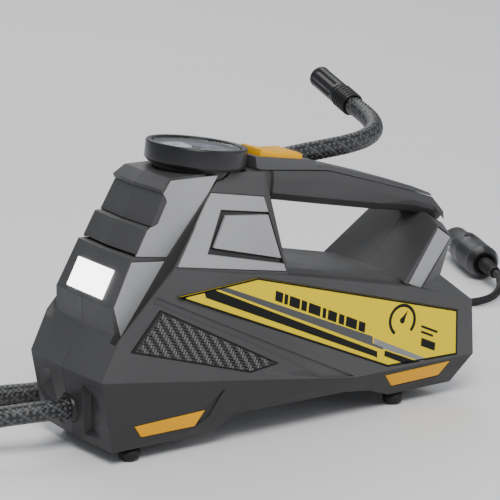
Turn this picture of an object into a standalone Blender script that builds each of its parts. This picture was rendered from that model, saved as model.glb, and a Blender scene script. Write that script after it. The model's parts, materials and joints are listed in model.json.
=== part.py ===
"""Portable tyre inflator: a clam-shell body with a carrying handle, a lamp, a round pressure gauge,
a motor and wobble-piston compressor, an air hose with a screw-on valve connector and a 12 V plug.

Frame: -X is the lamp end, +X the cord end, -Y the left side, +Z up. The origin is the middle of the
footprint, on the surface that the feet stand on. Sizes are in millimetres and turned to metres by mm().
"""

import math

import bmesh
import bpy
from mathutils import Matrix, Vector

# Body outline
NOSE_X, REAR_X = -119.5, 119.5  # the prow's edge, and the handle's rear end
SKIRT_Z, BELT_NOSE_Z, BELT_REAR_Z = 8.0, 46.6, 25.0
SKIRT_HALF, NOSE_HALF, BELT_HALF = 35.4, 36.1, 44.4
REAR_FACE_X = 116.0
WALL = 2.6
GAP = 0.3  # between pieces that touch
SPLIT = 0.15  # each half shell stops this far from the middle plane

# Side wall above the belt: two planes, half width = a + b x + c z
FRONT_WALL = (41.9, 0.0516, 0.0054)
LABEL_WALL = (45.2, 0.0063, -0.062)
PIER_WALL = (68.5, -0.0673, -0.356)
TOWER_WALL = (34.2, 0.0, -0.076)

# Gauge
GAUGE_AT = (-36.1, 0.0, 154.2)  # centre of the rim's top
GAUGE_R, GAUGE_TILT = 26.9, math.radians(8.0)
NEEDLE_ARM = [(5.5, 1.4), (5.5, -1.4), (-18.5, 0.35), (-18.5, -0.35)]
NEEDLE_REST = math.radians(-28)

# Compressor
MOTOR_Z, GEAR_Z, GEAR_X = 40.0, 60.0, -18.5
MODULE, GEAR_TEETH, PINION_TEETH = 0.8, 40, 10
CRANK_R = 7.0
CYLINDER_X, BORE_R = -26.5, 10.2

# Hose, cord and plug
HOSE_D, CORD_D = 11.0, 5.0
COIL_AT, COIL_R, COIL_HALF = (158.0, 84.0), 27.5, (10.0, 10.0)
PLUG_TAIL, PLUG_YAW = (278.0, 142.0, 11.4), math.radians(68.0)
PLUG_R = 11.0
# Sprung contact: distance from the plug's axis and place along it
CONTACT = [(6.7, 46.2), (6.7, 57.4), (9.0, 46.2), (10.9, 50.0), (10.9, 54.0), (9.0, 57.4)]

CHARCOAL = (0.115, 0.115, 0.118)
MATERIALS = {
    "charcoal": (CHARCOAL, 0.5, 0.0),
    "graphite": ((0.16, 0.16, 0.165), 0.45, 0.0),
    "silver": ((0.42, 0.42, 0.43), 0.4, 0.3),
    "black": ((0.02, 0.02, 0.022), 0.5, 0.0),
    "rubber": ((0.015, 0.015, 0.016), 0.75, 0.0),
    "yellow": ((0.95, 0.85, 0.01), 0.4, 0.0),
    "amber": ((0.85, 0.42, 0.03), 0.45, 0.0),
    "steel": ((0.55, 0.55, 0.57), 0.3, 1.0),
    "brass": ((0.6, 0.42, 0.16), 0.35, 1.0),
    "dial": ((0.9, 0.9, 0.9), 0.5, 0.0),
    "glass": ((0.9, 0.95, 0.97), 0.05, 0.0),
    "lens": ((0.95, 0.95, 0.9), 0.2, 0.0),
}


def mm(point):
    return Vector(point) * 0.001


def start():
    """Empties the scene and makes the parts' and the cutters' collections and the materials."""
    for obj in list(bpy.data.objects):
        bpy.data.objects.remove(obj)
    scene = bpy.context.scene.collection
    made = {}
    for name in ("tyre_inflator", "cutters"):
        made[name] = bpy.data.collections.new(name)
        scene.children.link(made[name])
    for name, (colour, roughness, metallic) in MATERIALS.items():
        shader = bpy.data.materials.new(name)
        shader.use_nodes = True
        node = shader.node_tree.nodes["Principled BSDF"]
        node.inputs["Base Color"].default_value = (*colour, 1.0)
        node.inputs["Roughness"].default_value = roughness
        node.inputs["Metallic"].default_value = metallic
    return made["tyre_inflator"], made["cutters"]


PARTS, CUTTERS = start()


def node_of(name, data, finish=None):
    """A finished piece where finish names its material, else a helper that the booleans use."""
    obj = bpy.data.objects.new(name, data)
    if finish is None:
        CUTTERS.objects.link(obj)
        obj.hide_render = True
        obj.display_type = "WIRE"
        return obj
    PARTS.objects.link(obj)
    data.materials.clear()
    data.materials.append(bpy.data.materials[finish])
    if isinstance(data, bpy.types.Mesh):
        data.polygons.foreach_set("material_index", [0] * len(data.polygons))
    return obj


def finish_piece(obj, name, finish):
    """Cleans a piece made with booleans and gives it its name and material."""
    clean(obj)
    data = obj.data
    bpy.data.objects.remove(obj)
    data.name = name
    return node_of(name, data, finish)


def joint_at(obj, point):
    """Puts a moving piece's origin on its joint axis."""
    obj.data.transform(Matrix.Translation(-mm(point)))
    obj.location = mm(point)


def mirrored(points):
    """The points and their images in the middle plane."""
    return [*points, *((x, -y, z) for x, y, z in points if abs(y) > 1e-6)]


def block(points, name="block", finish=None):
    """The convex solid whose corners are these points."""
    mesh = bpy.data.meshes.new(name)
    form = bmesh.new()
    for point in points:
        form.verts.new(mm(point))
    hull = bmesh.ops.convex_hull(form, input=form.verts, use_existing_faces=False)
    loose = [item for item in hull["geom_interior"] if isinstance(item, bmesh.types.BMVert)]
    bmesh.ops.delete(form, geom=loose, context="VERTS")
    bmesh.ops.dissolve_limit(form, angle_limit=0.004, verts=form.verts, edges=form.edges)
    form.to_mesh(mesh)
    form.free()
    return node_of(name, mesh, finish)


def box(low, high, name="box", finish=None):
    corners = [(x, y, z) for x in (low[0], high[0]) for y in (low[1], high[1]) for z in (low[2], high[2])]
    return block(corners, name, finish)


def inner(solid, depth=WALL):
    """The convex solid that lies this far inside a convex one: a cube cut by each face's plane, moved in."""
    form = bmesh.new()
    bmesh.ops.create_cube(form, size=1.0)
    for face in solid.data.polygons:
        bmesh.ops.bisect_plane(
            form,
            geom=[*form.verts, *form.edges, *form.faces],
            plane_co=face.center - face.normal * depth * 0.001,
            plane_no=face.normal,
            clear_outer=True,
        )
        rim = [edge for edge in form.edges if edge.is_boundary]
        bmesh.ops.contextual_create(form, geom=rim) if rim else None
    bmesh.ops.recalc_face_normals(form, faces=form.faces)
    mesh = bpy.data.meshes.new("inner")
    form.to_mesh(mesh)
    form.free()
    return node_of("inner", mesh)


def boolean(target, tool, operation="DIFFERENCE", keep_tool=False):
    """Applies one EXACT boolean to the target's mesh, and removes the tool."""
    modifier = target.modifiers.new("cut", "BOOLEAN")
    modifier.operation = operation
    modifier.object = tool
    graph = bpy.context.evaluated_depsgraph_get()
    mesh = bpy.data.meshes.new_from_object(target.evaluated_get(graph))
    target.modifiers.clear()
    target.data = mesh
    if not keep_tool:
        bpy.data.objects.remove(tool)


def clean(obj, within=0.00002):
    """Merges the slivers that booleans leave and dissolves edges between faces of one plane. Where that
    would open the surface, the faces are only cut into triangles."""
    for simpler in (True, False):
        form = bmesh.new()
        form.from_mesh(obj.data)
        bmesh.ops.remove_doubles(form, verts=form.verts, dist=within if simpler else within * 0.1)
        if simpler:
            bmesh.ops.dissolve_degenerate(form, edges=form.edges, dist=within)
            bmesh.ops.dissolve_limit(form, angle_limit=0.003, verts=form.verts, edges=form.edges)
        bmesh.ops.triangulate(form, faces=form.faces)
        closed = all(edge.is_manifold for edge in form.edges)
        if closed or not simpler:
            form.to_mesh(obj.data)
        form.free()
        if closed:
            break


def copy_of(obj, name="copy", finish=None):
    return node_of(name, obj.data.copy(), finish)


def loft(rings, name="loft", finish=None):
    """The solid through rings of equally many points, with flat ends."""
    mesh = bpy.data.meshes.new(name)
    form = bmesh.new()
    loops = [[form.verts.new(mm(point)) for point in ring] for ring in rings]
    count = len(rings[0])
    for near, far in zip(loops, loops[1:]):
        for i in range(count):
            j = (i + 1) % count
            form.faces.new((near[i], near[j], far[j], far[i]))
    form.faces.new(reversed(loops[0]))
    form.faces.new(loops[-1])
    bmesh.ops.recalc_face_normals(form, faces=form.faces)
    form.to_mesh(mesh)
    form.free()
    return node_of(name, mesh, finish)


def plate(outline, low, high, name="plate", finish=None):
    """A flat outline in the XZ plane, filled and thickened from y = low to y = high."""
    curve = bpy.data.curves.new(name, "CURVE")
    curve.dimensions = "2D"
    curve.fill_mode = "BOTH"
    curve.extrude = (high - low) / 2 * 0.001
    spline = curve.splines.new("POLY")
    spline.points.add(len(outline) - 1)
    for point, (x, z) in zip(spline.points, outline):
        point.co = (x * 0.001, z * 0.001, 0, 1)
    spline.use_cyclic_u = True
    turn = Matrix.Rotation(math.radians(90), 4, "X")
    place = Matrix.Translation(mm((0, (low + high) / 2, 0)))
    return solid_of(curve, place @ turn, name, finish)


def solid_of(curve, matrix, name, finish=None):
    """The welded mesh of a curve, placed by the matrix."""
    helper = bpy.data.objects.new("helper", curve)
    CUTTERS.objects.link(helper)
    graph = bpy.context.evaluated_depsgraph_get()
    graph.update()
    mesh = bpy.data.meshes.new_from_object(helper.evaluated_get(graph))
    bpy.data.objects.remove(helper)
    form = bmesh.new()
    form.from_mesh(mesh)
    bmesh.ops.remove_doubles(form, verts=form.verts, dist=0.00001)
    bmesh.ops.recalc_face_normals(form, faces=form.faces)
    form.to_mesh(mesh)
    form.free()
    mesh.transform(matrix)
    mesh.name = name
    return node_of(name, mesh, finish)


def turned(profile, matrix, name="turned", finish=None, steps=32):
    """A profile of (radius, height) turned about its own Z, then placed. It runs from the axis's top, or
    round a ring, down its outer side."""
    mesh = bpy.data.meshes.new(name)
    form = bmesh.new()
    line = [form.verts.new((r * 0.001, 0, h * 0.001)) for r, h in profile]
    for start_at, end_at in zip(line, line[1:]):
        form.edges.new((start_at, end_at))
    if profile[0][0] > 0:
        form.edges.new((line[-1], line[0]))
    form.to_mesh(mesh)
    form.free()
    obj = bpy.data.objects.new("lathe", mesh)
    CUTTERS.objects.link(obj)
    screw = obj.modifiers.new("turn", "SCREW")
    screw.steps = steps
    screw.render_steps = steps
    screw.use_merge_vertices = True
    screw.merge_threshold = 0.00001
    graph = bpy.context.evaluated_depsgraph_get()
    graph.update()
    done = bpy.data.meshes.new_from_object(obj.evaluated_get(graph))
    bpy.data.objects.remove(obj)
    form = bmesh.new()
    form.from_mesh(done)
    bmesh.ops.recalc_face_normals(form, faces=form.faces)
    form.to_mesh(done)
    form.free()
    done.name = name
    done.transform(matrix)
    if finish is not None:
        done.shade_smooth()
        done.set_sharp_from_angle(angle=math.radians(35))
    return node_of(name, done, finish)


def disc(radius, low, high, matrix, name="disc", finish=None, steps=32):
    return turned([(0, high), (radius, high), (radius, low), (0, low)], matrix, name, finish, steps)


def frame_at(point, axis):
    """The matrix that stands a turned shape's Z along axis at the point."""
    return Matrix.Translation(mm(point)) @ Vector(axis).to_track_quat("Z", "Y").to_matrix().to_4x4()


def smooth_route(points, spacing):
    """Points this far apart, in millimetres, along a Catmull-Rom curve through the route's points."""
    route = [Vector(p) for p in points]
    route = [route[0] * 2 - route[1], *route, route[-1] * 2 - route[-2]]
    fine = []
    for a, b, c, d in zip(route, route[1:], route[2:], route[3:]):
        for k in range(24):
            t = k / 24
            even = 2 * b + (2 * a - 5 * b + 4 * c - d) * t**2
            odd = (c - a) * t + (3 * b - a - 3 * c + d) * t**3
            fine.append(0.5 * (even + odd))
    fine.append(route[-2])
    steps = [(q - p).length for p, q in zip(fine, fine[1:])]
    count = max(2, round(sum(steps) / spacing))
    wanted = [sum(steps) * i / count for i in range(count + 1)]
    found, travelled, i = [], 0.0, 0
    for distance in wanted:
        while i < len(steps) - 1 and travelled + steps[i] < distance:
            travelled += steps[i]
            i += 1
        found.append(fine[i].lerp(fine[i + 1], min(1.0, (distance - travelled) / steps[i])))
    return found


def tube(route, diameter, name, finish, spacing, resolution=2):
    """A cord's plain solid: a capped round tube along the smooth curve through its route's points."""
    curve = bpy.data.curves.new(name, "CURVE")
    curve.dimensions = "3D"
    curve.bevel_depth = diameter / 2 * 0.001
    curve.bevel_resolution = resolution
    curve.use_fill_caps = True
    points = smooth_route(route, spacing)
    spline = curve.splines.new("POLY")
    spline.points.add(len(points) - 1)
    for point, place in zip(spline.points, points):
        point.co = (*mm(place), 1)
    return node_of(name, curve, finish)


def on_wall(wall, x, z):
    """The half width of a side wall's plane at x, z."""
    return wall[0] + wall[1] * x + wall[2] * z


def inlay(wall, outline, side, low, high, grow=0.0, name="inlay", finish=None):
    """A piece that follows a side wall's plane: its outline in x and z, from low to high off the wall.
    The outline may be made larger all round by grow. side is -1 for left and 1 for right."""
    grown = offset(outline, grow) if grow else outline
    solid = plate(grown, low, high, name, None)
    for vertex in solid.data.vertices:
        x, y, z = vertex.co * 1000
        vertex.co.y = side * (on_wall(wall, x, z) + y) * 0.001
    if side < 0:
        solid.data.flip_normals()
    data = solid.data
    bpy.data.objects.remove(solid)
    return node_of(name, data, finish)


def offset(outline, distance):
    """The outline with each side moved outwards by the distance."""
    area = sum(a[0] * b[1] - b[0] * a[1] for a, b in zip(outline, [*outline[1:], outline[0]]))
    turn = 1 if area > 0 else -1
    moved = []
    for i, (x, z) in enumerate(outline):
        px, pz = outline[i - 1]
        nx, nz = outline[(i + 1) % len(outline)]
        before = Vector((x - px, z - pz)).normalized()
        after = Vector((nx - x, nz - z)).normalized()
        out_a = Vector((before.y, -before.x)) * turn
        out_b = Vector((after.y, -after.x)) * turn
        bisector = (out_a + out_b).normalized()
        corner = Vector((x, z)) + bisector * distance / bisector.dot(out_a)
        moved.append(tuple(corner))
    return moved


# The body's corners on the right side; mirrored() adds the left ones.
BASE = [
    (NOSE_X, 0, BELT_NOSE_Z),
    (-117.4, NOSE_HALF, BELT_NOSE_Z),
    (-111.1, SKIRT_HALF, SKIRT_Z),
    (-113.0, 0, SKIRT_Z),
    (-107.0, 36.7, 67.0),
    (-74.5, 38.5, 100.1),
    (-4.3, 39.7, 86.4),
    (74.3, 41.4, 68.6),
    (REAR_FACE_X, 42.5, 55.5),
    (REAR_FACE_X, 14.0, 63.4),
    (36.0, 43.9, BELT_REAR_Z),
    (REAR_FACE_X, BELT_HALF, BELT_REAR_Z),
    (107.0, SKIRT_HALF, SKIRT_Z),
]
ARCH = [(-51.6, 7.0), (-40.4, 17.5), (30.5, 16.6), (48.7, 13.9), (66.5, 7.0)]
DECK = [(-10, 33, 90.9), (76, 33, 71.9), (-10, 35, 78), (76, 35, 58)]
PIER = [
    (-43.8, 24.0, 133.4),
    (-9.9, 24.0, 127.0),
    (-33.0, 20.0, 142.2),
    (-5.3, 17.5, 138.0),
    (-4.3, 38.0, 86.6),
    (-74.5, 38.0, 99.6),
    (-4.3, 30.0, 60.0),
    (-74.5, 30.0, 60.0),
]
LEG = [
    (72.0, 38.2, 70.6),
    (84.6, 38.8, 64.8),
    (101.3, 29.7, 97.0),
    (112.0, 28.5, 89.0),
    (104.9, 14.0, 100.6),
    (118.0, 12.5, 92.5),
    (REAR_FACE_X, 14.0, 62.6),
    (84.0, 30.0, 55.0),
]
# Front steps of the tower: the front edge's top and bottom, as x and z, then how far each prow stands out
CAP = ((-73.2, 138.2), (-72.2, 135.9), 1.4)
RIBS = (((-71.2, 136.6), (-80.2, 120.2), 1.4), ((-83.6, 119.6), (-90.2, 107.2), 1.4))
LAMP_TOP, LAMP_MID, LAMP_FOOT = (-93.2, 105.8), (-106.0, 81.6), (-105.4, 64.2)
TOWER_BACK_X = -45.0
# Trough beside the tower: x and z on the body's slope, its inner and outer half width, its depth
GROOVE = [(-109.0, 65.0, 29.4, 35.6, 6.5), (-74.6, 100.0, 26.7, 36.6, 8.0), (-45.5, 132.0, 24.3, 24.9, 1.0)]
# Hollow beside the prow: points of its edge on the front, and where its floor lies
SCOOP = [(-117.6, 17.0, 41.3), (-113.2, 10.5, 11.6), (-112.5, 25.8, 12.9), (-114.2, 33.6, 26.8),
         (-116.4, 29.0, 37.4)]
SCOOP_FLOOR = [(-116.6, 17.6, 37.4), (-113.4, 13.4, 15.2)]

# Handle bar: x, half width, height of the seam under the cover, height of the underside
HANDLE = [
    (-9.0, 13.2, 138.6, 122.8),
    (1.6, 13.2, 137.1, 120.7),
    (2.4, 15.0, 137.0, 120.5),
    (38.6, 15.6, 132.2, 112.8),
    (73.0, 15.2, 121.2, 105.6),
    (97.0, 14.6, 113.2, 101.2),
    (110.0, 13.6, 108.6, 97.0),
    (REAR_X, 12.0, 98.6, 93.0),
]
COVER_STATIONS = [(-7.0, 2.9), (1.6, 2.9), (38.6, 2.6), (56.0, 2.8), (73.0, 2.9), (97.0, 2.6), (110.0, 1.6)]
PAD = [(-7.5, 137.5), (-7.5, 145.4), (29.5, 139.0), (32.3, 134.0)]
ROCKER_BOX = ((-2.8, 24.8), 9.6)  # x range and half width
ROCKER_PIVOT = (11.0, 0.0, 138.6)

# Panels that lie in pockets of the side walls, as x and z
TOWER_PANEL = [(-67.0, 142.0), (-38.6, 141.4), (-44.6, 133.6), (-72.2, 103.4), (-90.2, 106.2),
               (-82.6, 118.8), (-76.2, 121.2), (-70.2, 131.6), (-72.0, 136.0)]
LAMP_PANEL = [(-93.0, 103.6), (-73.6, 101.4), (-101.6, 66.6), (-104.8, 81.6)]
SIDE_PANEL = [(-43.4, 132.8), (-10.6, 126.6), (-5.4, 88.6), (-72.4, 100.6)]
TAB_GROOVE = [(-39.4, 124.0), (-8.6, 118.6), (-4.4, 92.0), (-53.0, 104.0)]
TAB_PANEL = [(-37.0, 120.8), (-10.2, 117.6), (-7.2, 95.4), (-48.4, 106.4)]
GRIP_PAD = [(-83.4, 79.5), (-100.2, 60.0), (-29.6, 38.4), (-13.4, 40.6)]
LABEL = [(-73.8, 85.2), (-24.6, 88.2), (105.6, 51.2), (104.6, 26.4), (57.2, 27.4)]
LEG_STRIP = [(75.2, 37.8, 69.4), (84.0, 38.0, 65.8), (110.6, 28.6, 88.8), (101.6, 29.6, 95.6)]
STEP_BAND = [(-85.3, 86.4), (-30.3, 58.3), (33.5, 26.2), (15.0, 28.4), (-32.3, 55.6), (-86.8, 83.6)]
FRONT_INSERT = [(-98.4, 20.1), (-57.2, 22.1), (-63.3, 14.4), (-94.7, 13.8)]
INSERT_NOTCH = [(-58.2, 21.4), (-46.2, 30.8), (-55.3, 18.1), (-61.6, 14.9)]  # beside the front insert
REAR_INSERT = [(56.9, 21.9), (100.8, 22.9), (96.2, 14.4), (64.4, 13.6)]
FRONT_SKIRT_WALL = (41.26, 0.0547, 0.0271)
REAR_SKIRT_WALL = (30.52, 0.00625, 0.526)
FEET = [(-97.3, 28.724), (72.4, 28.724)]

# Cords: the points that each route passes through
HOSE_EXIT = (-117.6, 0.0, 24.0)
HOSE_ROUTE = [
    (-108, 0, 24), (-118, 0, 24), (-128, 0.6, 24.2), (-140, 3.5, 24), (-152, 9.5, 22.5),
    (-163, 19, 18.5), (-170.5, 31, 13), (-173.5, 45, 8.5), (-171, 59, 6.3), (-163, 72, 5.7),
    (-151, 82, 5.7), (-136, 88.5, 5.7), (-120, 90, 5.7), (-105, 88, 5.7), (-92, 84, 5.7),
    (-79, 79.5, 6.8), (-64, 74.5, 11), (-50, 70, 20.5), (-40, 65.5, 34.5), (-34.5, 60.5, 52),
    (-32, 55, 72), (-29.5, 49, 90), (-24, 43, 107), (-13, 37, 120), (2, 31.2, 127.8), (18, 28.6, 131.2),
    (34, 28, 132), (50, 28, 133), (66, 28, 133.7), (82, 28.8, 134.3), (97, 33, 135), (110, 42, 136),
    (119.5, 55, 137.6), (125, 70, 139.8), (126.8, 84, 142.6), (127.4, 91, 144.4),
]
HOSE_END, HOSE_END_AXIS = (126.8, 84.0, 142.6), (0.09, 0.96, 0.265)
CLIP_X = (21.0, 31.0)
CORD_EXIT = (142.0, 13.0, 40.0)
CORD_ROUTE = [
    (116, 13, 40), (130, 13, 40), (140, 13, 40), (146, 13.2, 39.7), (153, 15, 36), (157.6, 18.6, 27.6),
    (159, 23.5, 17.5), (156, 30, 8.6), (149, 37, 3.4), (139, 45, 2.6), (127, 56, 2.6), (119.6, 69, 2.6),
    (117.4, 84, 2.6),
]
TAIL_ROUTE = [
    (158, 124.4, 2.6), (174, 124, 2.6), (190, 121.2, 2.6), (205, 115.6, 2.6), (220, 108.4, 2.6),
    (234, 99.8, 2.7), (247, 98, 4.2), (257.4, 102.6, 7.2), (263.8, 109.8, 10.0), (267.5, 116, 11.3),
    (270.13, 122.53, 11.4), (272.2, 127.65, 11.4), (274.25, 132.7, 11.4),
]


def rib(top, foot, prow):
    """One step of the tower, from its front edges back into the tower."""
    corners = []
    for x, z in (top, foot):
        half = on_wall(TOWER_WALL, x, z)
        corners += [(x, half, z), (x - prow, 0, z), (TOWER_BACK_X, half, z + (1.0 if z == top[1] else 0.0))]
    return block(mirrored(corners))


def tower_blocks():
    """The convex solids that make the tower: cap, ribs and lamp housing."""
    cap = [(-67.0, 21.8, 142.9), (-68.0, 0, 143.2), (TOWER_BACK_X, 21.4, 142.6)]
    for x, z in CAP[:2]:
        cap += [(x, on_wall(TOWER_WALL, x, z), z), (x - CAP[2], 0, z)]
    cap.append((TOWER_BACK_X, 23.0, CAP[1][1]))
    lamp = []
    for x, z in (LAMP_TOP, LAMP_MID, LAMP_FOOT):
        lamp += [(x, on_wall(TOWER_WALL, x, z), z), (x - 1.2, 0, z)]
    lamp += [(TOWER_BACK_X, 26.2, LAMP_TOP[1] + 1), (TOWER_BACK_X, 29.0, LAMP_FOOT[1])]
    return [block(mirrored(cap)), *(rib(*step) for step in RIBS), block(mirrored(lamp))]


def handle_ring(x, half, seam, under, shrink=0.0):
    """The bar's section: flat under the cover, rounded below."""
    right = [
        (half - shrink - 0.4, seam - shrink),
        (half - shrink, seam - 4.5),
        (half - shrink - 1.2, under + 4.4 + shrink),
        (half - shrink - 4.8, under + 0.8 + shrink),
    ]
    right.append((half / 2 - shrink / 2, under + shrink))
    return [(x, y, z) for y, z in right] + [(x, -y, z) for y, z in reversed(right)]


def tower_groove(side, wall):
    """The V-shaped trough between the tower and the side wall, or that trough grown by the wall."""
    corners = []
    for x, z, near, far, deep in GROOVE:
        down = Vector((0.7, 0, -0.714)) * (deep + wall * 1.3)
        up = Vector((-0.7, 0, 0.714)) * 4
        inner, outer = near - wall, far + wall
        for y, move in ((inner, up), (outer, up), (outer, Vector()), (inner, down), (near + 1.5, down)):
            corners.append(tuple(Vector((x, side * y, z)) + move))
    return block(corners)


def scoop(side, wall):
    """The almond-shaped hollow beside the prow, or that hollow grown by the wall."""
    corners = []
    for x, y, z in SCOOP:
        corners.append((x - 4, side * y, z))
        wider = wall if y > 20 else -wall
        higher = wall if z > 25 else -wall
        corners.append((x + wall, side * (y + wider), z + higher))
    corners += [(x + 3.4 + wall * 1.4, side * (y - wall), z) for x, y, z in SCOOP_FLOOR]
    return block(corners)


def body_solid():
    """The outer form of both half shells together, and its hollow."""
    blocks = [block(mirrored(points)) for points in (BASE, DECK, PIER, LEG)] + tower_blocks()
    hollows = [inner(solid) for solid in blocks]
    bar = loft([handle_ring(*station) for station in HANDLE])
    bar_hollow = loft([handle_ring(*station, shrink=WALL) for station in HANDLE[1:-1]])
    join_block = box((-22, -10.5, 112), (6, 10.5, 134.0))
    outer, hollow = blocks[0], hollows[0]
    for solid in [*blocks[1:], bar]:
        boolean(outer, solid, "UNION")
    for solid in [*hollows[1:], bar_hollow, join_block]:
        boolean(hollow, solid, "UNION")
    for side in (-1, 1):
        for dent in (tower_groove, scoop):
            boolean(outer, dent(side, 0.0))
            boolean(hollow, dent(side, WALL))
    boolean(outer, plate(ARCH, -60, 60))
    boolean(hollow, plate(offset(ARCH, WALL), -60, 60))
    clean(outer)
    clean(hollow)
    return outer, hollow


def pocket(solid, wall, outline, depth):
    """Sinks the place of an inlaid panel on both sides, a gap larger than the panel."""
    for side in (-1, 1):
        boolean(solid, inlay(wall, outline, side, -depth, 6.0, GAP, "pocket"))


def lamp_frame():
    """The matrix at the middle of the lamp's window: Z out of the face, X across the body."""
    down = (Vector((LAMP_MID[0], 0, LAMP_MID[1])) - Vector((LAMP_TOP[0], 0, LAMP_TOP[1]))).normalized()
    out = Vector((down.z, 0, -down.x))
    across = down.cross(out)
    turn = Matrix((across, down, out)).transposed().to_4x4()
    middle = Vector((LAMP_TOP[0] - 1.0, 0, LAMP_TOP[1])) + down * 16.4
    return Matrix.Translation(mm(middle)) @ turn


def lamp_box(half_x, half_y, low, high, name="lamp box", finish=None):
    solid = box((-half_x, -half_y, low), (half_x, half_y, high), name, finish)
    solid.data.transform(lamp_frame())
    return solid


def gauge_frame():
    return frame_at(GAUGE_AT, (math.sin(GAUGE_TILT), 0, math.cos(GAUGE_TILT)))


def leg_plate(side, out_low, out_high, name, finish=None, grow=0.0):
    """The strip on the rear leg's slanting side, as a slab on the plane of its four corners."""
    corners = [Vector((x, side * y, z)) for x, y, z in LEG_STRIP]
    middle = sum(corners, Vector()) / 4
    normal = (corners[2] - corners[0]).cross(corners[3] - corners[1]).normalized()
    normal *= side if normal.y > 0 else -side
    spread = [c + (c - middle).normalized() * grow for c in corners]
    spread = [c - normal * (c - middle).dot(normal) for c in spread]
    points = [tuple(c + normal * h) for c in spread for h in (out_low, out_high)]
    return block(points, name, finish)


def shells():
    """The two half shells: one hollow form, cut for everything that fits into it, then split."""
    solid, hollow = body_solid()
    boolean(solid, hollow)
    pocket(solid, TOWER_WALL, TOWER_PANEL, 1.5)
    pocket(solid, TOWER_WALL, LAMP_PANEL, 1.5)
    pocket(solid, PIER_WALL, SIDE_PANEL, 1.7)
    pocket(solid, FRONT_WALL, GRIP_PAD, 1.4)
    pocket(solid, LABEL_WALL, LABEL, 0.9)
    pocket(solid, FRONT_SKIRT_WALL, FRONT_INSERT, 1.5)
    pocket(solid, FRONT_SKIRT_WALL, INSERT_NOTCH, 1.0)
    pocket(solid, REAR_SKIRT_WALL, REAR_INSERT, 1.5)
    pocket(solid, FRONT_WALL, STEP_BAND, 0.9)
    for side in (-1, 1):
        boolean(solid, leg_plate(side, -1.3, 5.0, "pocket", grow=0.6))
        for x, y in FEET:
            boolean(solid, disc(3.3, 5, 30, Matrix.Translation(mm((x, side * y, 0))), steps=16))
    boolean(solid, lamp_box(17.3, 8.3, -8, 8))
    boolean(solid, disc(21.9, -20, 12, gauge_frame(), steps=40))
    boolean(solid, disc(3.4, -30, -15, gauge_frame(), steps=16))
    boolean(solid, disc(GAUGE_R + 0.4, -11.9, 12, gauge_frame(), steps=40))
    boolean(solid, disc(7.9, -2, 30, frame_at((-100, 0, HOSE_EXIT[2]), (-1, 0, 0)), steps=24))
    boolean(solid, disc(4.9, -12, 20, frame_at((110, *CORD_EXIT[1:]), (1, 0, 0)), steps=20))
    boolean(solid, box((-4.6, -10.9, 128), (27, 10.9, 150)))
    clean(solid)
    for side, name in ((-1, "left_shell"), (1, "right_shell")):
        half = copy_of(solid)
        near, far = sorted((side * SPLIT, side * 70))
        boolean(half, box((-140, near, -5), (140, far, 170)), "INTERSECT")
        finish_piece(half, name, "charcoal")
    bpy.data.objects.remove(solid)


def seam_height(x):
    """Height of the seam under the handle's cover, between the bar's stations."""
    for (xa, _, za, _), (xb, _, zb, _) in zip(HANDLE, HANDLE[1:]):
        if xa <= x <= xb:
            return za + (zb - za) * (x - xa) / (xb - xa)
    return HANDLE[-1][2]


def handle_cover():
    """The strip along the top of the bar, with the raised pad that holds the rocker."""
    rings = []
    for x, height in COVER_STATIONS:
        low, half = seam_height(x) + GAP, 14.0 if x < 100 else 12.6
        half_ring = [(half, low), (half, low + 0.8), (half - 2.4, low + height)]
        rings.append([(x, y, z) for y, z in half_ring] + [(x, -y, z) for y, z in reversed(half_ring)])
    cover = loft(rings)
    pad = block([(x, y, z) for x, z in PAD for y in ((12.4, -12.4) if z > 138 else (13.6, -13.6))])
    lid = [(x, y, z) for x in (-9, 1.6, 38.6, 60) for y in (-20, 20) for z in (100, seam_height(x) + GAP)]
    boolean(pad, block(lid))
    boolean(cover, pad, "UNION")
    (low, high), half = ROCKER_BOX
    boolean(cover, box((low - 1.2, -half - 0.5, 120), (high + 0.7, half + 0.5, 160)))
    finish_piece(cover, "handle_cover", "graphite")


def panels():
    """Everything inlaid in the side walls, a left and a right piece of each."""
    for side, hand in ((-1, "left"), (1, "right")):
        inlay(TOWER_WALL, TOWER_PANEL, side, -1.2, 0.5, 0, f"{hand}_tower_panel", "silver")
        inlay(TOWER_WALL, LAMP_PANEL, side, -1.2, 0.5, 0, f"{hand}_lamp_panel", "silver")
        panel = inlay(PIER_WALL, SIDE_PANEL, side, -1.4, 0.6)
        boolean(panel, inlay(PIER_WALL, TAB_GROOVE, side, -6, 6))
        finish_piece(panel, f"{hand}_side_panel", "silver")
        inlay(PIER_WALL, TAB_PANEL, side, -1.4, 0.9, 0, f"{hand}_tab_panel", "silver")
        inlay(FRONT_WALL, GRIP_PAD, side, -1.1, 0.4, 0, f"{hand}_grip_pad", "black")
        inlay(LABEL_WALL, LABEL, side, -0.6, 0.2, 0, f"{hand}_label", "yellow")
        inlay(FRONT_SKIRT_WALL, FRONT_INSERT, side, -1.2, 0.2, 0, f"front_{hand}_insert", "amber")
        inlay(REAR_SKIRT_WALL, REAR_INSERT, side, -1.2, 0.2, 0, f"rear_{hand}_insert", "amber")
        leg_plate(side, -1.0, 0.3, f"{hand}_leg_strip", "silver")


def feet():
    """Four rubber feet, each with a neck that goes up through the floor of its shell."""
    profile = [(0, 13.2), (3.9, 13.2), (3.9, 11.2), (3.0, 11.0), (3.0, 7.4), (5.2, 6.6), (5.9, 4.6),
               (5.4, 1.8), (3.4, 0), (0, 0)]
    for (x, y), end in zip(FEET, ("front", "rear")):
        for side, hand in ((-1, "left"), (1, "right")):
            place = Matrix.Translation(mm((x, side * y, 0)))
            turned(profile, place, f"{end}_{hand}_foot", "rubber", 14)


def lamp():
    lamp_box(17.0, 8.0, -2.4, 0.8, "lamp_lens", "lens")
    lamp_box(15.0, 7.0, -6.4, -4.8, "lamp_board", "dial")


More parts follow.
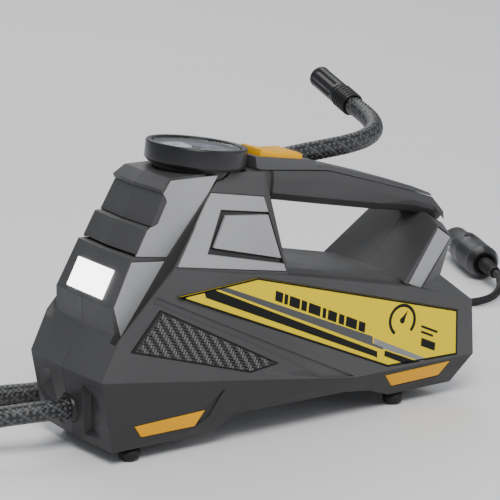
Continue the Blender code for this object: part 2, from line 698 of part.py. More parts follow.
def gauge():
    """Case, dial, needle, glass, stem, Bourdon tube and movement, all on the tilted axis."""
    at = gauge_frame()
    case = [(3.0, -14.2), (18.6, -14.2), (18.6, -5.0), (23.3, -5.0), (23.3, -1.0), (24.4, 0), (26.2, 0),
            (GAUGE_R, -0.8), (GAUGE_R, -9.8), (25.0, -11.4), (21.4, -11.8), (21.4, -17.0), (3.0, -17.0)]
    turned(case, at, "gauge_case", "black", 32)
    turned([(1.3, -3.9), (22.9, -3.9), (22.9, -4.7), (1.3, -4.7)], at, "gauge_dial", "dial", 36)
    disc(22.9, -1.9, -0.9, at, "gauge_glass", "glass", 36)
    hub = [(0, -2.3), (2.6, -2.3), (2.6, -3.5), (0.9, -3.5), (0.9, -10.4), (0, -10.4)]
    needle = turned(hub, Matrix(), steps=16)
    boolean(needle, block([(x, y, z) for x, y in NEEDLE_ARM for z in (-3.2, -2.6)]), "UNION")
    needle.data.transform(at @ Matrix.Rotation(NEEDLE_REST, 4, "Z"))
    joint_at(finish_piece(needle, "gauge_needle", "black"), GAUGE_AT)
    turned([(1.3, -9.2), (5.4, -9.2), (5.4, -13.8), (1.3, -13.8)], at, "gauge_movement", "brass", 20)
    disc(2.6, -27.0, -13.9, at, "gauge_stem", "brass", 20)
    sweep = [math.radians(-150 + 280 * i / 12) for i in range(13)]
    arc = [at @ mm((13.4 * math.cos(a), 13.4 * math.sin(a), -11.6)) for a in sweep]
    tube([tuple(p * 1000) for p in arc], 2.6, "bourdon_tube", "brass", 4.0)


def rocker():
    """The rocker button and the switch under it."""
    (low, high), half = ROCKER_BOX
    profile = [(low, 144.6), (low + 0.6, 148.4), (8.6, 145.2), (21.0, 144.2), (high, 142.2),
               (high - 0.6, 136.4), (14.0, 134.2), (8.0, 134.2), (low + 0.6, 138.6)]
    joint_at(plate(profile, -half, half, "rocker", "amber"), ROCKER_PIVOT)
    box((-1.0, -7.4, 125.6), (23.0, 7.4, 132.6), "switch_body", "black")


def gear_outline(teeth, phase):
    """Points of a spur gear's outline about the X axis, as y and z."""
    pitch = MODULE * teeth / 2
    outline = []
    for i in range(teeth):
        middle = 2 * math.pi * (i + phase) / teeth
        quarter = 2 * math.pi / teeth / 4
        for radius, angle in ((pitch - 1.1 * MODULE, -1.3), (pitch + 0.8 * MODULE, -0.45),
                              (pitch + 0.8 * MODULE, 0.45), (pitch - 1.1 * MODULE, 1.3)):
            turn = middle + angle * quarter
            outline.append((radius * math.cos(turn), radius * math.sin(turn)))
    return outline


def plate_across(outline, low, high):
    """A flat outline in y and z, thickened from x = low to x = high."""
    solid = plate([(-y, z) for y, z in outline], low, high)
    solid.data.transform(Matrix.Rotation(math.radians(-90), 4, "Z"))
    return solid


def gear(teeth, phase, centre_z, low, high):
    """A spur gear about an axis along X at the height centre_z, from x = low to high."""
    wheel = plate_across(gear_outline(teeth, phase), low, high)
    wheel.data.transform(Matrix.Translation(mm((0, 0, centre_z))))
    return wheel


def along_x(radius, low, high, y, z, name="rod", finish=None, steps=24):
    return disc(radius, low, high, frame_at((0, y, z), (1, 0, 0)), name, finish, steps)


def drive():
    """Motor, shaft with its pinion, fan, gear frame, and the gear with its crank pin."""
    can = turned([(3.4, 48.0), (17.4, 48.0), (18.0, 47.4), (18.0, -8.4), (17.4, -9.0), (3.4, -9.0),
                  (3.4, -7.2), (16.6, -7.2), (16.6, 46.2), (3.4, 46.2)],
                 frame_at((0, 0, MOTOR_Z), (1, 0, 0)), "motor_can", "steel", 32)
    can.data.shade_flat()
    rod = [(0, 62.0), (1.6, 62.0), (1.6, 42.0), (13.0, 42.0), (13.0, -5.0), (1.6, -5.0), (1.6, -16.2),
           (0, -16.2)]
    shaft = turned(rod, frame_at((0, 0, MOTOR_Z), (1, 0, 0)), steps=20)
    boolean(shaft, gear(PINION_TEETH, 0.0, MOTOR_Z, -22.0, -15.6), "UNION")
    joint_at(finish_piece(shaft, "motor_shaft", "steel"), (0, 0, MOTOR_Z))
    fan = along_x(4.4, 52.0, 58.0, 0, MOTOR_Z, "motor_fan")
    for i in range(8):
        blade = box((52.4, -0.7, 3.4), (57.6, 0.7, 15.0))
        turn = Matrix.Rotation(2 * math.pi * i / 8, 4, "X")
        blade.data.transform(Matrix.Translation(mm((0, 0, MOTOR_Z))) @ turn)
        boolean(fan, blade, "UNION")
    boolean(fan, along_x(1.9, 40, 70, 0, MOTOR_Z))
    joint_at(finish_piece(fan, "motor_fan", "black"), (0, 0, MOTOR_Z))
    frame = box((-14.0, -19.5, 22.0), (-11.0, 19.5, 80.0))
    boolean(frame, along_x(4.2, -20, 0, 0, MOTOR_Z))
    boolean(frame, along_x(2.4, -22.0, -11.5, 0, GEAR_Z), "UNION")
    finish_piece(frame, "gear_frame", "steel")
    wheel = gear(GEAR_TEETH, 0.0, GEAR_Z, -21.0, -16.0)
    boolean(wheel, along_x(2.7, -30, -10, 0, GEAR_Z))
    boolean(wheel, along_x(2.4, -22.8, -18.0, 0, GEAR_Z + CRANK_R), "UNION")
    joint_at(finish_piece(wheel, "drive_gear", "steel"), (GEAR_X, 0, GEAR_Z))


def compressor():
    """Wobble piston with its rod in one piece, at the top of its stroke, the cylinder and its head."""
    top = GEAR_Z + CRANK_R
    eye = [(5.6, -23.2), (5.6, -29.6), (2.7, -29.6), (2.7, -23.2)]
    piston = turned(eye, frame_at((0, 0, top), (1, 0, 0)), steps=20)
    boolean(piston, box((-28.4, -3.0, top + 3.3), (-24.4, 3.0, top + 33)), "UNION")
    head_at = Matrix.Translation(mm((CYLINDER_X, 0, 0)))
    boolean(piston, disc(BORE_R - 0.3, top + 30, top + 36, head_at), "UNION")
    joint_at(finish_piece(piston, "wobble_piston", "black"), (CYLINDER_X, 0, top))
    turned([(BORE_R, 106.0), (13.0, 106.0), (13.0, 82.0), (BORE_R, 82.0)], head_at, "cylinder", "steel", 32)
    head = [(1.6, 118.0), (3.2, 118.0), (3.2, 113.0), (13.6, 113.0), (13.6, 106.3), (1.6, 106.3)]
    turned(head, head_at, "cylinder_head", "steel", 28)


def hose_set():
    """Gland, hose, ribbed ferrule, the rotating valve connector and the clip on the handle."""
    mouth = frame_at((0, 0, HOSE_EXIT[2]), (-1, 0, 0))
    gland = [(5.8, 117.6), (7.0, 117.6), (7.6, 117.0), (7.6, 110.2), (10.4, 110.2), (10.4, 107.4),
             (5.8, 107.4)]
    turned(gland, mouth, "hose_gland", "black", 24)
    tube(HOSE_ROUTE, HOSE_D, "air_hose", "rubber", 13.0, 3)
    end = frame_at(HOSE_END, HOSE_END_AXIS)
    ribs = [(5.9, 0.0), (5.9, 9.6), (2.0, 9.6), (2.0, 36.0), (3.4, 36.0), (3.4, 13.4), (7.0, 13.4)]
    for i in range(5):
        ribs += [(7.0, 12.2 - 2.4 * i), (6.4, 11.9 - 2.4 * i), (6.4, 11.1 - 2.4 * i), (7.0, 10.8 - 2.4 * i)]
    ribs.append((7.0, 0.0))
    turned(ribs, end, "hose_ferrule", "black", 16)
    sleeve = turned([(3.8, 41.0), (5.8, 41.0), (6.6, 40.2), (6.6, 14.5), (6.0, 13.8), (3.8, 13.8)], end)
    for i in range(6):
        angle = 2 * math.pi * i / 6
        beside = Matrix.Translation(mm((7.4 * math.cos(angle), 7.4 * math.sin(angle), 0)))
        flute = disc(1.5, 16.5, 38.5, end @ beside, steps=8)
        boolean(sleeve, flute)
    joint_at(finish_piece(sleeve, "valve_connector", "black"), HOSE_END)
    hose_clip()


def hose_clip():
    """The open clip on the handle's right side that grips the hose."""
    y, z = 28.2, 131.7
    sweep = [math.radians(-250 + 290 * i / 14) for i in range(15)]
    ring = [(y + 8.2 * math.cos(a), z + 8.2 * math.sin(a)) for a in sweep]
    ring += [(y + 6.2 * math.cos(a), z + 6.2 * math.sin(a)) for a in reversed(sweep)]
    clip = plate_across(ring, *CLIP_X)
    arm = [(16.2, 126.4), (22.4, 132.4), (22.4, 126.4), (18.4, 119.6), (16.2, 116.6)]
    boolean(clip, plate_across(arm, *CLIP_X), "UNION")
    finish_piece(clip, "hose_clip", "black")


def plug_frame():
    return frame_at(PLUG_TAIL, (math.cos(PLUG_YAW), math.sin(PLUG_YAW), 0))


def power_set():
    """Strain relief, cord, coil, the cord's tail and the 12 V plug with its sprung contacts."""
    out = frame_at((0, *CORD_EXIT[1:]), (1, 0, 0))
    boot = [(2.8, 142.0), (3.6, 142.0), (4.5, 119.5), (4.5, 113.1), (6.6, 113.1), (6.6, 110.6),
            (2.8, 110.6)]
    turned(boot, out, "cord_strain_relief", "rubber", 20)
    tube(CORD_ROUTE, CORD_D, "power_cord", "rubber", 9.0)
    coil_r, coil_z = COIL_HALF
    x, y = COIL_AT
    inner, outer = COIL_R - coil_r, COIL_R + coil_r
    low, high = 0.1, 0.1 + 2 * coil_z
    turned([(inner, high), (outer, high), (outer, low), (inner, low)],
           Matrix.Translation(mm((x, y, 0))), "cord_coil", "rubber", 40)
    tube(TAIL_ROUTE, CORD_D, "cord_tail", "rubber", 9.0)
    at = plug_frame()
    boot = [(2.8, 0.0), (2.8, -22.0), (3.6, -22.0), (5.0, -0.3), (5.0, 3.0), (7.0, 3.0), (7.0, 5.0),
            (2.8, 5.0)]
    turned(boot, at, "plug_strain_relief", "rubber", 20)
    case = [(5.4, 0.0), (8.6, 0.0), (PLUG_R, 5.0), (PLUG_R, 44.0), (9.2, 50.0), (9.2, 66.0), (4.2, 66.0),
            (4.2, 60.0), (7.4, 60.0), (7.4, 2.7), (5.4, 2.7)]
    body = turned(case, at, "plug_body")
    for side in (-1, 1):
        slot = box((6.0, -2.0, 45.5), (12.0, 2.0, 58.0))
        slot.data.transform(at @ Matrix.Rotation(math.pi / 2 * (1 - side), 4, "Z"))
        boolean(body, slot)
    finish_piece(body, "plug_body", "black")
    turned([(4.6, 66.3), (8.2, 66.3), (8.2, 69.0), (6.4, 73.0), (4.6, 73.0)], at, "plug_nut", "steel", 24)
    tip = [(0, 80.0), (1.8, 80.0), (3.6, 77.0), (3.6, 59.4), (4.7, 59.4), (4.7, 56.6), (0, 56.6)]
    joint_at(turned(tip, at, "plug_tip", "steel", 20), PLUG_TAIL)
    for side, hand in ((-1, "left"), (1, "right")):
        contact = block([(x, y, z) for y in (-1.6, 1.6) for x, z in CONTACT])
        contact.data.transform(at @ Matrix.Rotation(math.pi / 2 * (1 - side), 4, "Z"))
        joint_at(finish_piece(contact, f"plug_contact_{hand}", "steel"), PLUG_TAIL)


shells()
handle_cover()
panels()
feet()
lamp()
gauge()
rocker()
drive()
compressor()
hose_set()
power_set()
for helper in list(CUTTERS.objects):
    bpy.data.objects.remove(helper)
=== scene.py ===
import json
import math

import bmesh
import bpy
import numpy as np
from mathutils import Matrix, Vector

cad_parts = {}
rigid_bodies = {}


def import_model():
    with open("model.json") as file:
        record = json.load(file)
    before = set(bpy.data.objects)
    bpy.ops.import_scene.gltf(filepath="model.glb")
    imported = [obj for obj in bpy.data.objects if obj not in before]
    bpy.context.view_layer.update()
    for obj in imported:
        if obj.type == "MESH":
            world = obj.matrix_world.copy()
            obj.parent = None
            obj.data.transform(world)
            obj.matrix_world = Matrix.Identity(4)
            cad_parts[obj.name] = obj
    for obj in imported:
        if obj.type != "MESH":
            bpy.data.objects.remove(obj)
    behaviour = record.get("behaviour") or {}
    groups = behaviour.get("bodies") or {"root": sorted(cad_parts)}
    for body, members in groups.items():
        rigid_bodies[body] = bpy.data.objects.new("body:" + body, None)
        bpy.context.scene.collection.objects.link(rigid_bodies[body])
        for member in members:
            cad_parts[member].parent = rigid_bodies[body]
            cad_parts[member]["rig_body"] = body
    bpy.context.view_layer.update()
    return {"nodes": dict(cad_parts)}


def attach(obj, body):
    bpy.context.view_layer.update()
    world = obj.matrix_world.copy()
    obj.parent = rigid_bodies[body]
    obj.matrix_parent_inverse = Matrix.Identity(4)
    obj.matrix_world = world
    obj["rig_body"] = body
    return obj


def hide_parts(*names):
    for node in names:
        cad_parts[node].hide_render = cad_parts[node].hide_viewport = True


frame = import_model()
nodes = frame["nodes"]
mm = 0.001


# ---- camera -------------------------------------------------------------------------------------

cameraSettings = {
    "azimuth": -34.15,  # degrees, 0 looks along +Y
    "elevation": 14.39,
    "distance": 1.33671,
    "target": (-0.00275, 0.0, 0.09159),
    "lens": 180.05,
}


def makeCamera(s):
    # The camera stands at the target plus the distance along the direction of its azimuth and elevation.
    az, el = math.radians(s["azimuth"]), math.radians(s["elevation"])
    back = Vector((math.sin(az) * math.cos(el), -math.cos(az) * math.cos(el), math.sin(el)))
    right = Vector((math.cos(az), math.sin(az), 0))
    turn = Matrix((right, back.cross(right), back)).transposed().to_4x4()
    data = bpy.data.cameras.new("camera")
    data.sensor_width, data.lens, data.clip_end = 36.0, s["lens"], 50.0
    camera = bpy.data.objects.new("camera", data)
    bpy.context.scene.collection.objects.link(camera)
    camera.matrix_world = Matrix.Translation(Vector(s["target"]) + back * s["distance"]) @ turn
    bpy.context.scene.camera = camera


makeCamera(cameraSettings)
print("camera placed")


# ---- materials ----------------------------------------------------------------------------------

def newMaterial(name):
    # An empty node material, its tree and its shader.
    material = bpy.data.materials.new(name)
    material.use_nodes = True
    tree = material.node_tree
    return material, tree, tree.nodes["Principled BSDF"]


def node(tree, kind, inputs=None, **fields):
    # A shader node with its inputs linked, or set where they are constants.
    made = tree.nodes.new(kind)
    for field, value in fields.items():
        setattr(made, field, value)
    for key, value in (inputs or {}).items():
        if isinstance(value, bpy.types.NodeSocket):
            tree.links.new(value, made.inputs[key])
        else:
            made.inputs[key].default_value = value
    return made


def grain(tree, scale, detail=3.0):
    # Noise on the object's own coordinates, scale in waves per metre.
    place = node(tree, "ShaderNodeTexCoord").outputs["Object"]
    inputs = {"Vector": place, "Scale": scale, "Detail": detail}
    return node(tree, "ShaderNodeTexNoise", inputs).outputs["Fac"]


def span(tree, value, fromLow, fromHigh, low, high):
    # A straight line from (fromLow, low) to (fromHigh, high), held level outside.
    inputs = {"Value": value, "From Min": fromLow, "From Max": fromHigh, "To Min": low, "To Max": high}
    return node(tree, "ShaderNodeMapRange", inputs).outputs["Result"]


def mixColour(tree, factor, a, b):
    # Colour a at factor 0, colour b at factor 1, a straight mix between.
    mixed = tree.nodes.new("ShaderNodeMix")
    mixed.data_type = "RGBA"
    for key, value in ((0, factor), (6, a), (7, b)):
        if isinstance(value, bpy.types.NodeSocket):
            tree.links.new(value, mixed.inputs[key])
        else:
            mixed.inputs[key].default_value = (*value, 1.0) if key else value
    return mixed.outputs[2]


def roundedNormal(tree, radius, height=None, strength=0.3, depth=0.0002):
    # The normal of edges rounded by the radius, with the height's bumps on it.
    soft = node(tree, "ShaderNodeBevel", {"Radius": radius}, samples=4).outputs["Normal"]
    if height is None:
        return soft
    inputs = {"Strength": strength, "Distance": depth, "Height": height, "Normal": soft}
    return node(tree, "ShaderNodeBump", inputs).outputs["Normal"]


def edgeHighlightMask(tree, radius):
    # 0 on a flat, rising to 1 where the rounded normal leaves the true one; this is the mask of the
    # painted edge highlight.
    soft = node(tree, "ShaderNodeBevel", {"Radius": radius}, samples=4).outputs["Normal"]
    true = node(tree, "ShaderNodeNewGeometry").outputs["Normal"]
    facing = node(tree, "ShaderNodeVectorMath", {0: soft, 1: true}, operation="DOT_PRODUCT")
    return span(tree, facing.outputs["Value"], 0.995, 0.86, 0.0, 1.0)


plasticLooks = {
    # name: colour, darker colour, roughness from and to, grain's scale, bump, edge rounding in mm,
    # specular level
    "charcoalShell": ((0.062, 0.062, 0.063), (0.050, 0.050, 0.051), (0.42, 0.54), 2600, 0.22, 0.5, 0.40),
    "graphiteCover": ((0.080, 0.080, 0.082), (0.066, 0.066, 0.068), (0.40, 0.52), 2600, 0.20, 0.5, 0.40),
    "silverPaint": ((0.350, 0.351, 0.356), (0.295, 0.296, 0.301), (0.32, 0.44), 3800, 0.10, 0.35, 0.45),
    "blackPlastic": ((0.010, 0.010, 0.011), (0.006, 0.006, 0.007), (0.30, 0.44), 3200, 0.18, 0.35, 0.50),
    "blackSatin": ((0.012, 0.012, 0.013), (0.008, 0.008, 0.009), (0.26, 0.36), 4200, 0.06, 0.4, 0.50),
    "amberPlastic": ((0.840, 0.400, 0.002), (0.740, 0.340, 0.001), (0.42, 0.52), 3000, 0.16, 0.4, 0.25),
    "switchAmber": ((0.940, 0.470, 0.004), (0.840, 0.400, 0.003), (0.40, 0.50), 3000, 0.12, 0.5, 0.25),
    "blackRubber": ((0.009, 0.009, 0.010), (0.005, 0.005, 0.006), (0.55, 0.72), 1800, 0.30, 0.3, 0.40),
    "labelFilm": ((0.800, 0.600, 0.000), (0.770, 0.575, 0.000), (0.40, 0.46), 900, 0.03, 0.1, 0.15),
    "printBlack": ((0.006, 0.006, 0.006), (0.004, 0.004, 0.004), (0.36, 0.44), 1400, 0.03, 0.05, 0.20),
    "printGrey": ((0.085, 0.086, 0.088), (0.075, 0.076, 0.078), (0.36, 0.44), 1400, 0.03, 0.05, 0.20),
    "printSilver": ((0.230, 0.232, 0.236), (0.205, 0.207, 0.211), (0.36, 0.44), 1400, 0.03, 0.05, 0.20),
    "boardWhite": ((0.800, 0.810, 0.790), (0.700, 0.710, 0.690), (0.40, 0.55), 1200, 0.10, 0.1, 0.40),
    "paleBlue": ((0.200, 0.400, 0.950), (0.160, 0.340, 0.900), (0.40, 0.50), 1400, 0.02, 0.02, 0.20),
}


def plastic(name, look):
    # Moulded plastic: fine moulded grain, slow random change of tone, and a painted highlight that makes
    # the rounded edges paler.
    colour, darker, rough, scale, bump, edge, specular = look
    material, tree, shader = newMaterial(name)
    shader.inputs["Specular IOR Level"].default_value = specular
    shade = mixColour(tree, span(tree, grain(tree, 14, 4), 0.35, 0.65, 0, 1), darker, colour)
    # Painted highlight: the colour lightened along the rounded edges, mixed in by the edge mask below.
    edgeHighlight = tuple(min(1.0, c * 1.3 + 0.004) for c in colour)
    edgeHighlightWeight = node(tree, "ShaderNodeMath", {0: edgeHighlightMask(tree, edge * mm), 1: 0.55}, operation="MULTIPLY")
    tree.links.new(mixColour(tree, edgeHighlightWeight.outputs[0], shade, edgeHighlight), shader.inputs["Base Color"])
    tree.links.new(span(tree, grain(tree, 90, 5), 0.3, 0.7, *rough), shader.inputs["Roughness"])
    normal = roundedNormal(tree, edge * mm, grain(tree, scale, 2), bump, 0.0001)
    tree.links.new(normal, shader.inputs["Normal"])
    return material


looks = {name: plastic(name, look) for name, look in plasticLooks.items()}


def belted(material):
    # Darkens the shell below its belt: a line that falls from the prow to the middle and then runs level.
    tree = material.node_tree
    shader = tree.nodes["Principled BSDF"]
    place = node(tree, "ShaderNodeTexCoord").outputs["Object"]
    split = node(tree, "ShaderNodeSeparateXYZ", {0: place})
    fall = span(tree, split.outputs["X"], -0.1195, 0.036, 0.0466, 0.025)
    above = node(tree, "ShaderNodeMath", {0: split.outputs["Z"], 1: fall}, operation="SUBTRACT")
    lower = span(tree, above.outputs[0], -0.0004, 0.0002, 1.0, 0.0)
    painted = shader.inputs["Base Color"].links[0].from_socket
    dark = mixColour(tree, lower, painted, (0.024, 0.024, 0.025))
    tree.links.new(dark, shader.inputs["Base Color"])


belted(looks["charcoalShell"])

metalLooks = {
    "platedSteel": ((0.62, 0.62, 0.63), (0.16, 0.34)),
    "drawnBrass": ((0.66, 0.47, 0.20), (0.20, 0.38)),
}


def metal(name, look):
    # Plated metal: slow change of colour and gloss, a fine noise bump and slightly rounded edges.
    colour, rough = look
    material, tree, shader = newMaterial(name)
    shader.inputs["Metallic"].default_value = 1.0
    dull = tuple(c * 0.8 for c in colour)
    tree.links.new(mixColour(tree, grain(tree, 60, 4), dull, colour), shader.inputs["Base Color"])
    tree.links.new(span(tree, grain(tree, 240, 5), 0.3, 0.7, *rough), shader.inputs["Roughness"])
    normal = roundedNormal(tree, 0.2 * mm, grain(tree, 1500, 4), 0.08, 0.0001)
    tree.links.new(normal, shader.inputs["Normal"])
    return material


looks.update({name: metal(name, look) for name, look in metalLooks.items()})


def lampLens(name):
    # A lit diffuser whose glow and tint change a little in soft random patches.
    material, tree, shader = newMaterial(name)
    shader.inputs["Base Color"].default_value = (0.95, 0.96, 0.98, 1.0)
    shader.inputs["Roughness"].default_value = 0.25
    glow = span(tree, grain(tree, 70, 2), 0.3, 0.7, 0.92, 1.0)
    tint = mixColour(tree, glow, (0.80, 0.86, 1.0), (0.98, 0.99, 1.0))
    tree.links.new(tint, shader.inputs["Emission Color"])
    shader.inputs["Emission Strength"].default_value = 5.0
    tree.links.new(roundedNormal(tree, 0.5 * mm, grain(tree, 500, 2), 0.1), shader.inputs["Normal"])
    return material


def gaugeGlass(name):
    # Clear glass with a low index, so the dial shows through at a flat angle; faint smears in its gloss.
    material, tree, shader = newMaterial(name)
    shader.inputs["Base Color"].default_value = (0.97, 0.99, 1.0, 1.0)
    shader.inputs["Transmission Weight"].default_value = 1.0
    shader.inputs["IOR"].default_value = 1.12
    tree.links.new(span(tree, grain(tree, 60, 4), 0.35, 0.65, 0.0, 0.03), shader.inputs["Roughness"])
    return material


looks["lampLens"] = lampLens("lampLens")
looks["gaugeGlass"] = gaugeGlass("gaugeGlass")


def wovenLook(name, dark, highlight):
    # Two tones: one attribute picks the strands that carry a painted highlight, and the lift attribute
    # paints shade into the valleys between strands.
    material, tree, shader = newMaterial(name)
    litStrand = node(tree, "ShaderNodeAttribute", attribute_name="litStrand").outputs["Fac"]
    lift = node(tree, "ShaderNodeAttribute", attribute_name="lift").outputs["Fac"]
    # Painted highlight: the lighter colour on the picked strands stands in for their gloss.
    yarnWithHighlight = mixColour(tree, litStrand, dark, highlight)
    # Painted shade: the colour falls to near black in the low valleys.
    valleyShade = mixColour(tree, span(tree, lift, 0.25, 0.85, 0.0, 1.0), (0.003, 0.003, 0.003), yarnWithHighlight)
    tree.links.new(valleyShade, shader.inputs["Base Color"])
    tree.links.new(span(tree, grain(tree, 1500, 3), 0.3, 0.7, 0.30, 0.44), shader.inputs["Roughness"])
    inputs = {"Strength": 0.35, "Distance": 0.0002, "Height": grain(tree, 5200, 2)}
    tree.links.new(node(tree, "ShaderNodeBump", inputs).outputs["Normal"], shader.inputs["Normal"])
    return material


# Each look: the strand colour, then its painted highlight colour.
looks["braid"] = wovenLook("braid", (0.012, 0.012, 0.013), (0.075, 0.077, 0.080))
looks["tread"] = wovenLook("tread", (0.028, 0.028, 0.029), (0.130, 0.130, 0.132))


# ---- shapes -------------------------------------------------------------------------------------

def put(name, vertices, faces, material, body, smooth=True, angle=35.0):
    # Puts the arrays into a mesh, at the origin, with its material, and gives it its body.
    mesh = bpy.data.meshes.new(name)
    mesh.from_pydata(np.asarray(vertices, float).tolist(), [], np.asarray(faces).tolist()
                     if not isinstance(faces, list) else faces)
    mesh.materials.append(material)
    if smooth:
        mesh.shade_smooth()
        mesh.set_sharp_from_angle(angle=math.radians(angle))
    obj = bpy.data.objects.new(name, mesh)
    bpy.context.scene.collection.objects.link(obj)
    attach(obj, body)
    return obj


def gridFaces(rows, columns, wrap):
    # Quads between neighbouring rows; wrap joins the last column to the first.
    i, j = np.meshgrid(np.arange(rows - 1), np.arange(columns if wrap else columns - 1), indexing="ij")
    k = (j + 1) % columns
    quads = np.stack([i * columns + j, i * columns + k, (i + 1) * columns + k, (i + 1) * columns + j], -1)
    return quads.reshape(-1, 4)


def turnedSurface(name, profile, place, material, body, steps=72, radiusOf=None, closed=False):
    # A profile of (radius, height) in mm turned about Z. radiusOf(radius, angle, height) may vary it.
    line = np.array(profile + ([profile[0]] if closed else []), float)
    around = np.linspace(0, 2 * np.pi, steps, endpoint=False)
    radius = np.repeat(line[:, :1], steps, 1)
    height = np.repeat(line[:, 1:], steps, 1)
    angle = np.repeat(around[None], len(line), 0)
    if radiusOf is not None:
        radius = radiusOf(radius, angle, height)
    points = np.stack([radius * np.cos(angle), radius * np.sin(angle), height], -1)
    faces = gridFaces(len(line), steps, True)
    obj = put(name, placedAt(points.reshape(-1, 3), place), faces, material, body)
    weld(obj)
    return obj


def placedAt(points, place):
    # Points in mm carried by a matrix, in metres.
    turn = np.array(place)
    return np.asarray(points) * mm @ turn[:3, :3].T + turn[:3, 3]


def setValues(obj, name, values):
    # One number a vertex, for the material to read by name.
    layer = obj.data.attributes.new(name, "FLOAT", "POINT")
    layer.data.foreach_set("value", np.asarray(values, np.float32).ravel())


def weld(obj, distance=0.000002):
    # Merges vertices that lie this close, drops flat slivers and turns all faces outwards.
    form = bmesh.new()
    form.from_mesh(obj.data)
    bmesh.ops.remove_doubles(form, verts=form.verts, dist=distance)
    bmesh.ops.dissolve_degenerate(form, edges=form.edges, dist=distance)
    bmesh.ops.recalc_face_normals(form, faces=form.faces)
    form.to_mesh(obj.data)
    form.free()


def placeOf(point, axis):
    # The matrix that stands a turned shape's Z along the axis at the point, in mm.
    turn = Vector(axis).to_track_quat("Z", "Y").to_matrix().to_4x4()
    return Matrix.Translation(Vector(point) * mm) @ turn


def rounded(profile, radius, steps=3):
    # The profile with each inner corner replaced by a quadratic arc of about this radius.
    line = [Vector(p) for p in profile]
    out = [tuple(line[0])]
    for before, corner, after in zip(line, line[1:], line[2:]):
        a, b = before - corner, after - corner
        cut = min(radius, a.length * 0.45, b.length * 0.45)
        start, end = corner + a.normalized() * cut, corner + b.normalized() * cut
        for k in range(steps + 1):
            t = k / steps
            out.append(tuple(start * (1 - t) ** 2 + corner * 2 * t * (1 - t) + end * t**2))
    out.append(tuple(line[-1]))
    return out


def evenPath(points, spacing):
    # Points this far apart, in mm, on a Catmull-Rom curve through the given ones.
    p = np.array(points, float)
    p = np.vstack([2 * p[0] - p[1], p, 2 * p[-1] - p[-2]])
    t = np.linspace(0, 1, 24, endpoint=False)[None, :, None]
    a, b, c, d = (p[i:len(p) - 3 + i, None, :] for i in range(4))
    even = 2 * b + (2 * a - 5 * b + 4 * c - d) * t**2
    odd = (c - a) * t + (3 * b - a - 3 * c + d) * t**3
    curve = 0.5 * (even + odd)
    fine = np.vstack([curve.reshape(-1, 3), p[-2]])
    travelled = np.concatenate([[0], np.cumsum(np.linalg.norm(np.diff(fine, axis=0), axis=1))])
    wanted = np.linspace(0, travelled[-1], max(3, int(round(travelled[-1] / spacing)) + 1))
    even = np.stack([np.interp(wanted, travelled, fine[:, i]) for i in range(3)], -1)
    return even, wanted


def ringFrames(path):
    # A side and an up direction at each point of the path that don't twist about it.
    along = np.gradient(path, axis=0)
    along /= np.linalg.norm(along, axis=1, keepdims=True)
    side = np.zeros_like(path)
    start = np.cross(along[0], (0, 0, 1.0))
    side[0] = start / np.linalg.norm(start)
    for i in range(1, len(path)):
        carried = side[i - 1] - along[i] * (side[i - 1] @ along[i])
        side[i] = carried / np.linalg.norm(carried)
    return side, np.cross(along, side)


def tubeAlong(path, travelled, radius, steps, heightOf=None):
    # Rings of the radius round the path; heightOf(angle, distance) adds to the radius, all in mm.
    side, up = ringFrames(path)
    angle = np.linspace(0, 2 * np.pi, steps, endpoint=False)[None, :]
    r = np.full((len(path), steps), float(radius))
    if heightOf is not None:
        r = r + heightOf(angle, travelled[:, None])
    ring = side[:, None, :] * np.cos(angle)[..., None] + up[:, None, :] * np.sin(angle)[..., None]
    return path[:, None, :] + ring * r[..., None]


def capped(points):
    # Vertices and faces of a closed tube from its rings.
    rows, columns = points.shape[:2]
    faces = gridFaces(rows, columns, True).tolist()
    faces.append(list(range(columns))[::-1])
    faces.append(list(range((rows - 1) * columns, rows * columns)))
    return points.reshape(-1, 3) * mm, faces


# ---- air hose -----------------------------------------------------------------------------------

hoseSettings = {
    "route": [
        (-108, 0, 24), (-118, 0, 24), (-128, 0.6, 24.2), (-140, 3.5, 24), (-152, 9.5, 22.5),
        (-163, 19, 18.5), (-170.5, 31, 13), (-173.5, 45, 8.5), (-171, 59, 6.3), (-163, 72, 5.7),
        (-151, 82, 5.7), (-136, 88.5, 5.7), (-120, 90, 5.7), (-105, 88, 5.7), (-92, 84, 5.7),
        (-79, 79.5, 6.8), (-64, 74.5, 11), (-50, 70, 20.5), (-40, 65.5, 34.5), (-34.5, 60.5, 52),
        (-32, 55, 72), (-29.5, 49, 90), (-24, 43, 107), (-13, 37, 120), (2, 31.2, 127.8),
        (18, 28.6, 131.2), (34, 28, 132), (50, 28, 133), (66, 28, 133.7), (82, 28.8, 134.3),
        (97, 33, 135), (110, 42, 136), (119.5, 55, 137.6), (125, 70, 139.8), (126.8, 84, 142.6),
        (127.4, 91, 144.4),
    ],
    "radius": 5.15,
    "lift": 0.45,
    "strands": 12,
    "pitch": 19.0,
    "spacing": 0.42,
    "around": 64,
}


def braidHeight(s):
    # Two families of strands wind opposite ways. Where they cross, a checker picks the one on top. A
    # strand's height is the root of a half sine across its width, times a flatter one along it.
    def height(angle, distance):
        a = s["strands"] * angle / (2 * np.pi) + distance / s["pitch"] * s["strands"] * 0.5
        b = s["strands"] * angle / (2 * np.pi) - distance / s["pitch"] * s["strands"] * 0.5
        over = (np.floor(a) + np.floor(b)) % 2 < 1
        across = np.where(over, a % 1, b % 1)
        along = np.where(over, b % 1, a % 1)
        return s["lift"] * np.sqrt(np.sin(np.pi * across)) * (0.62 + 0.38 * np.sin(np.pi * along)) - 0.1
    return height


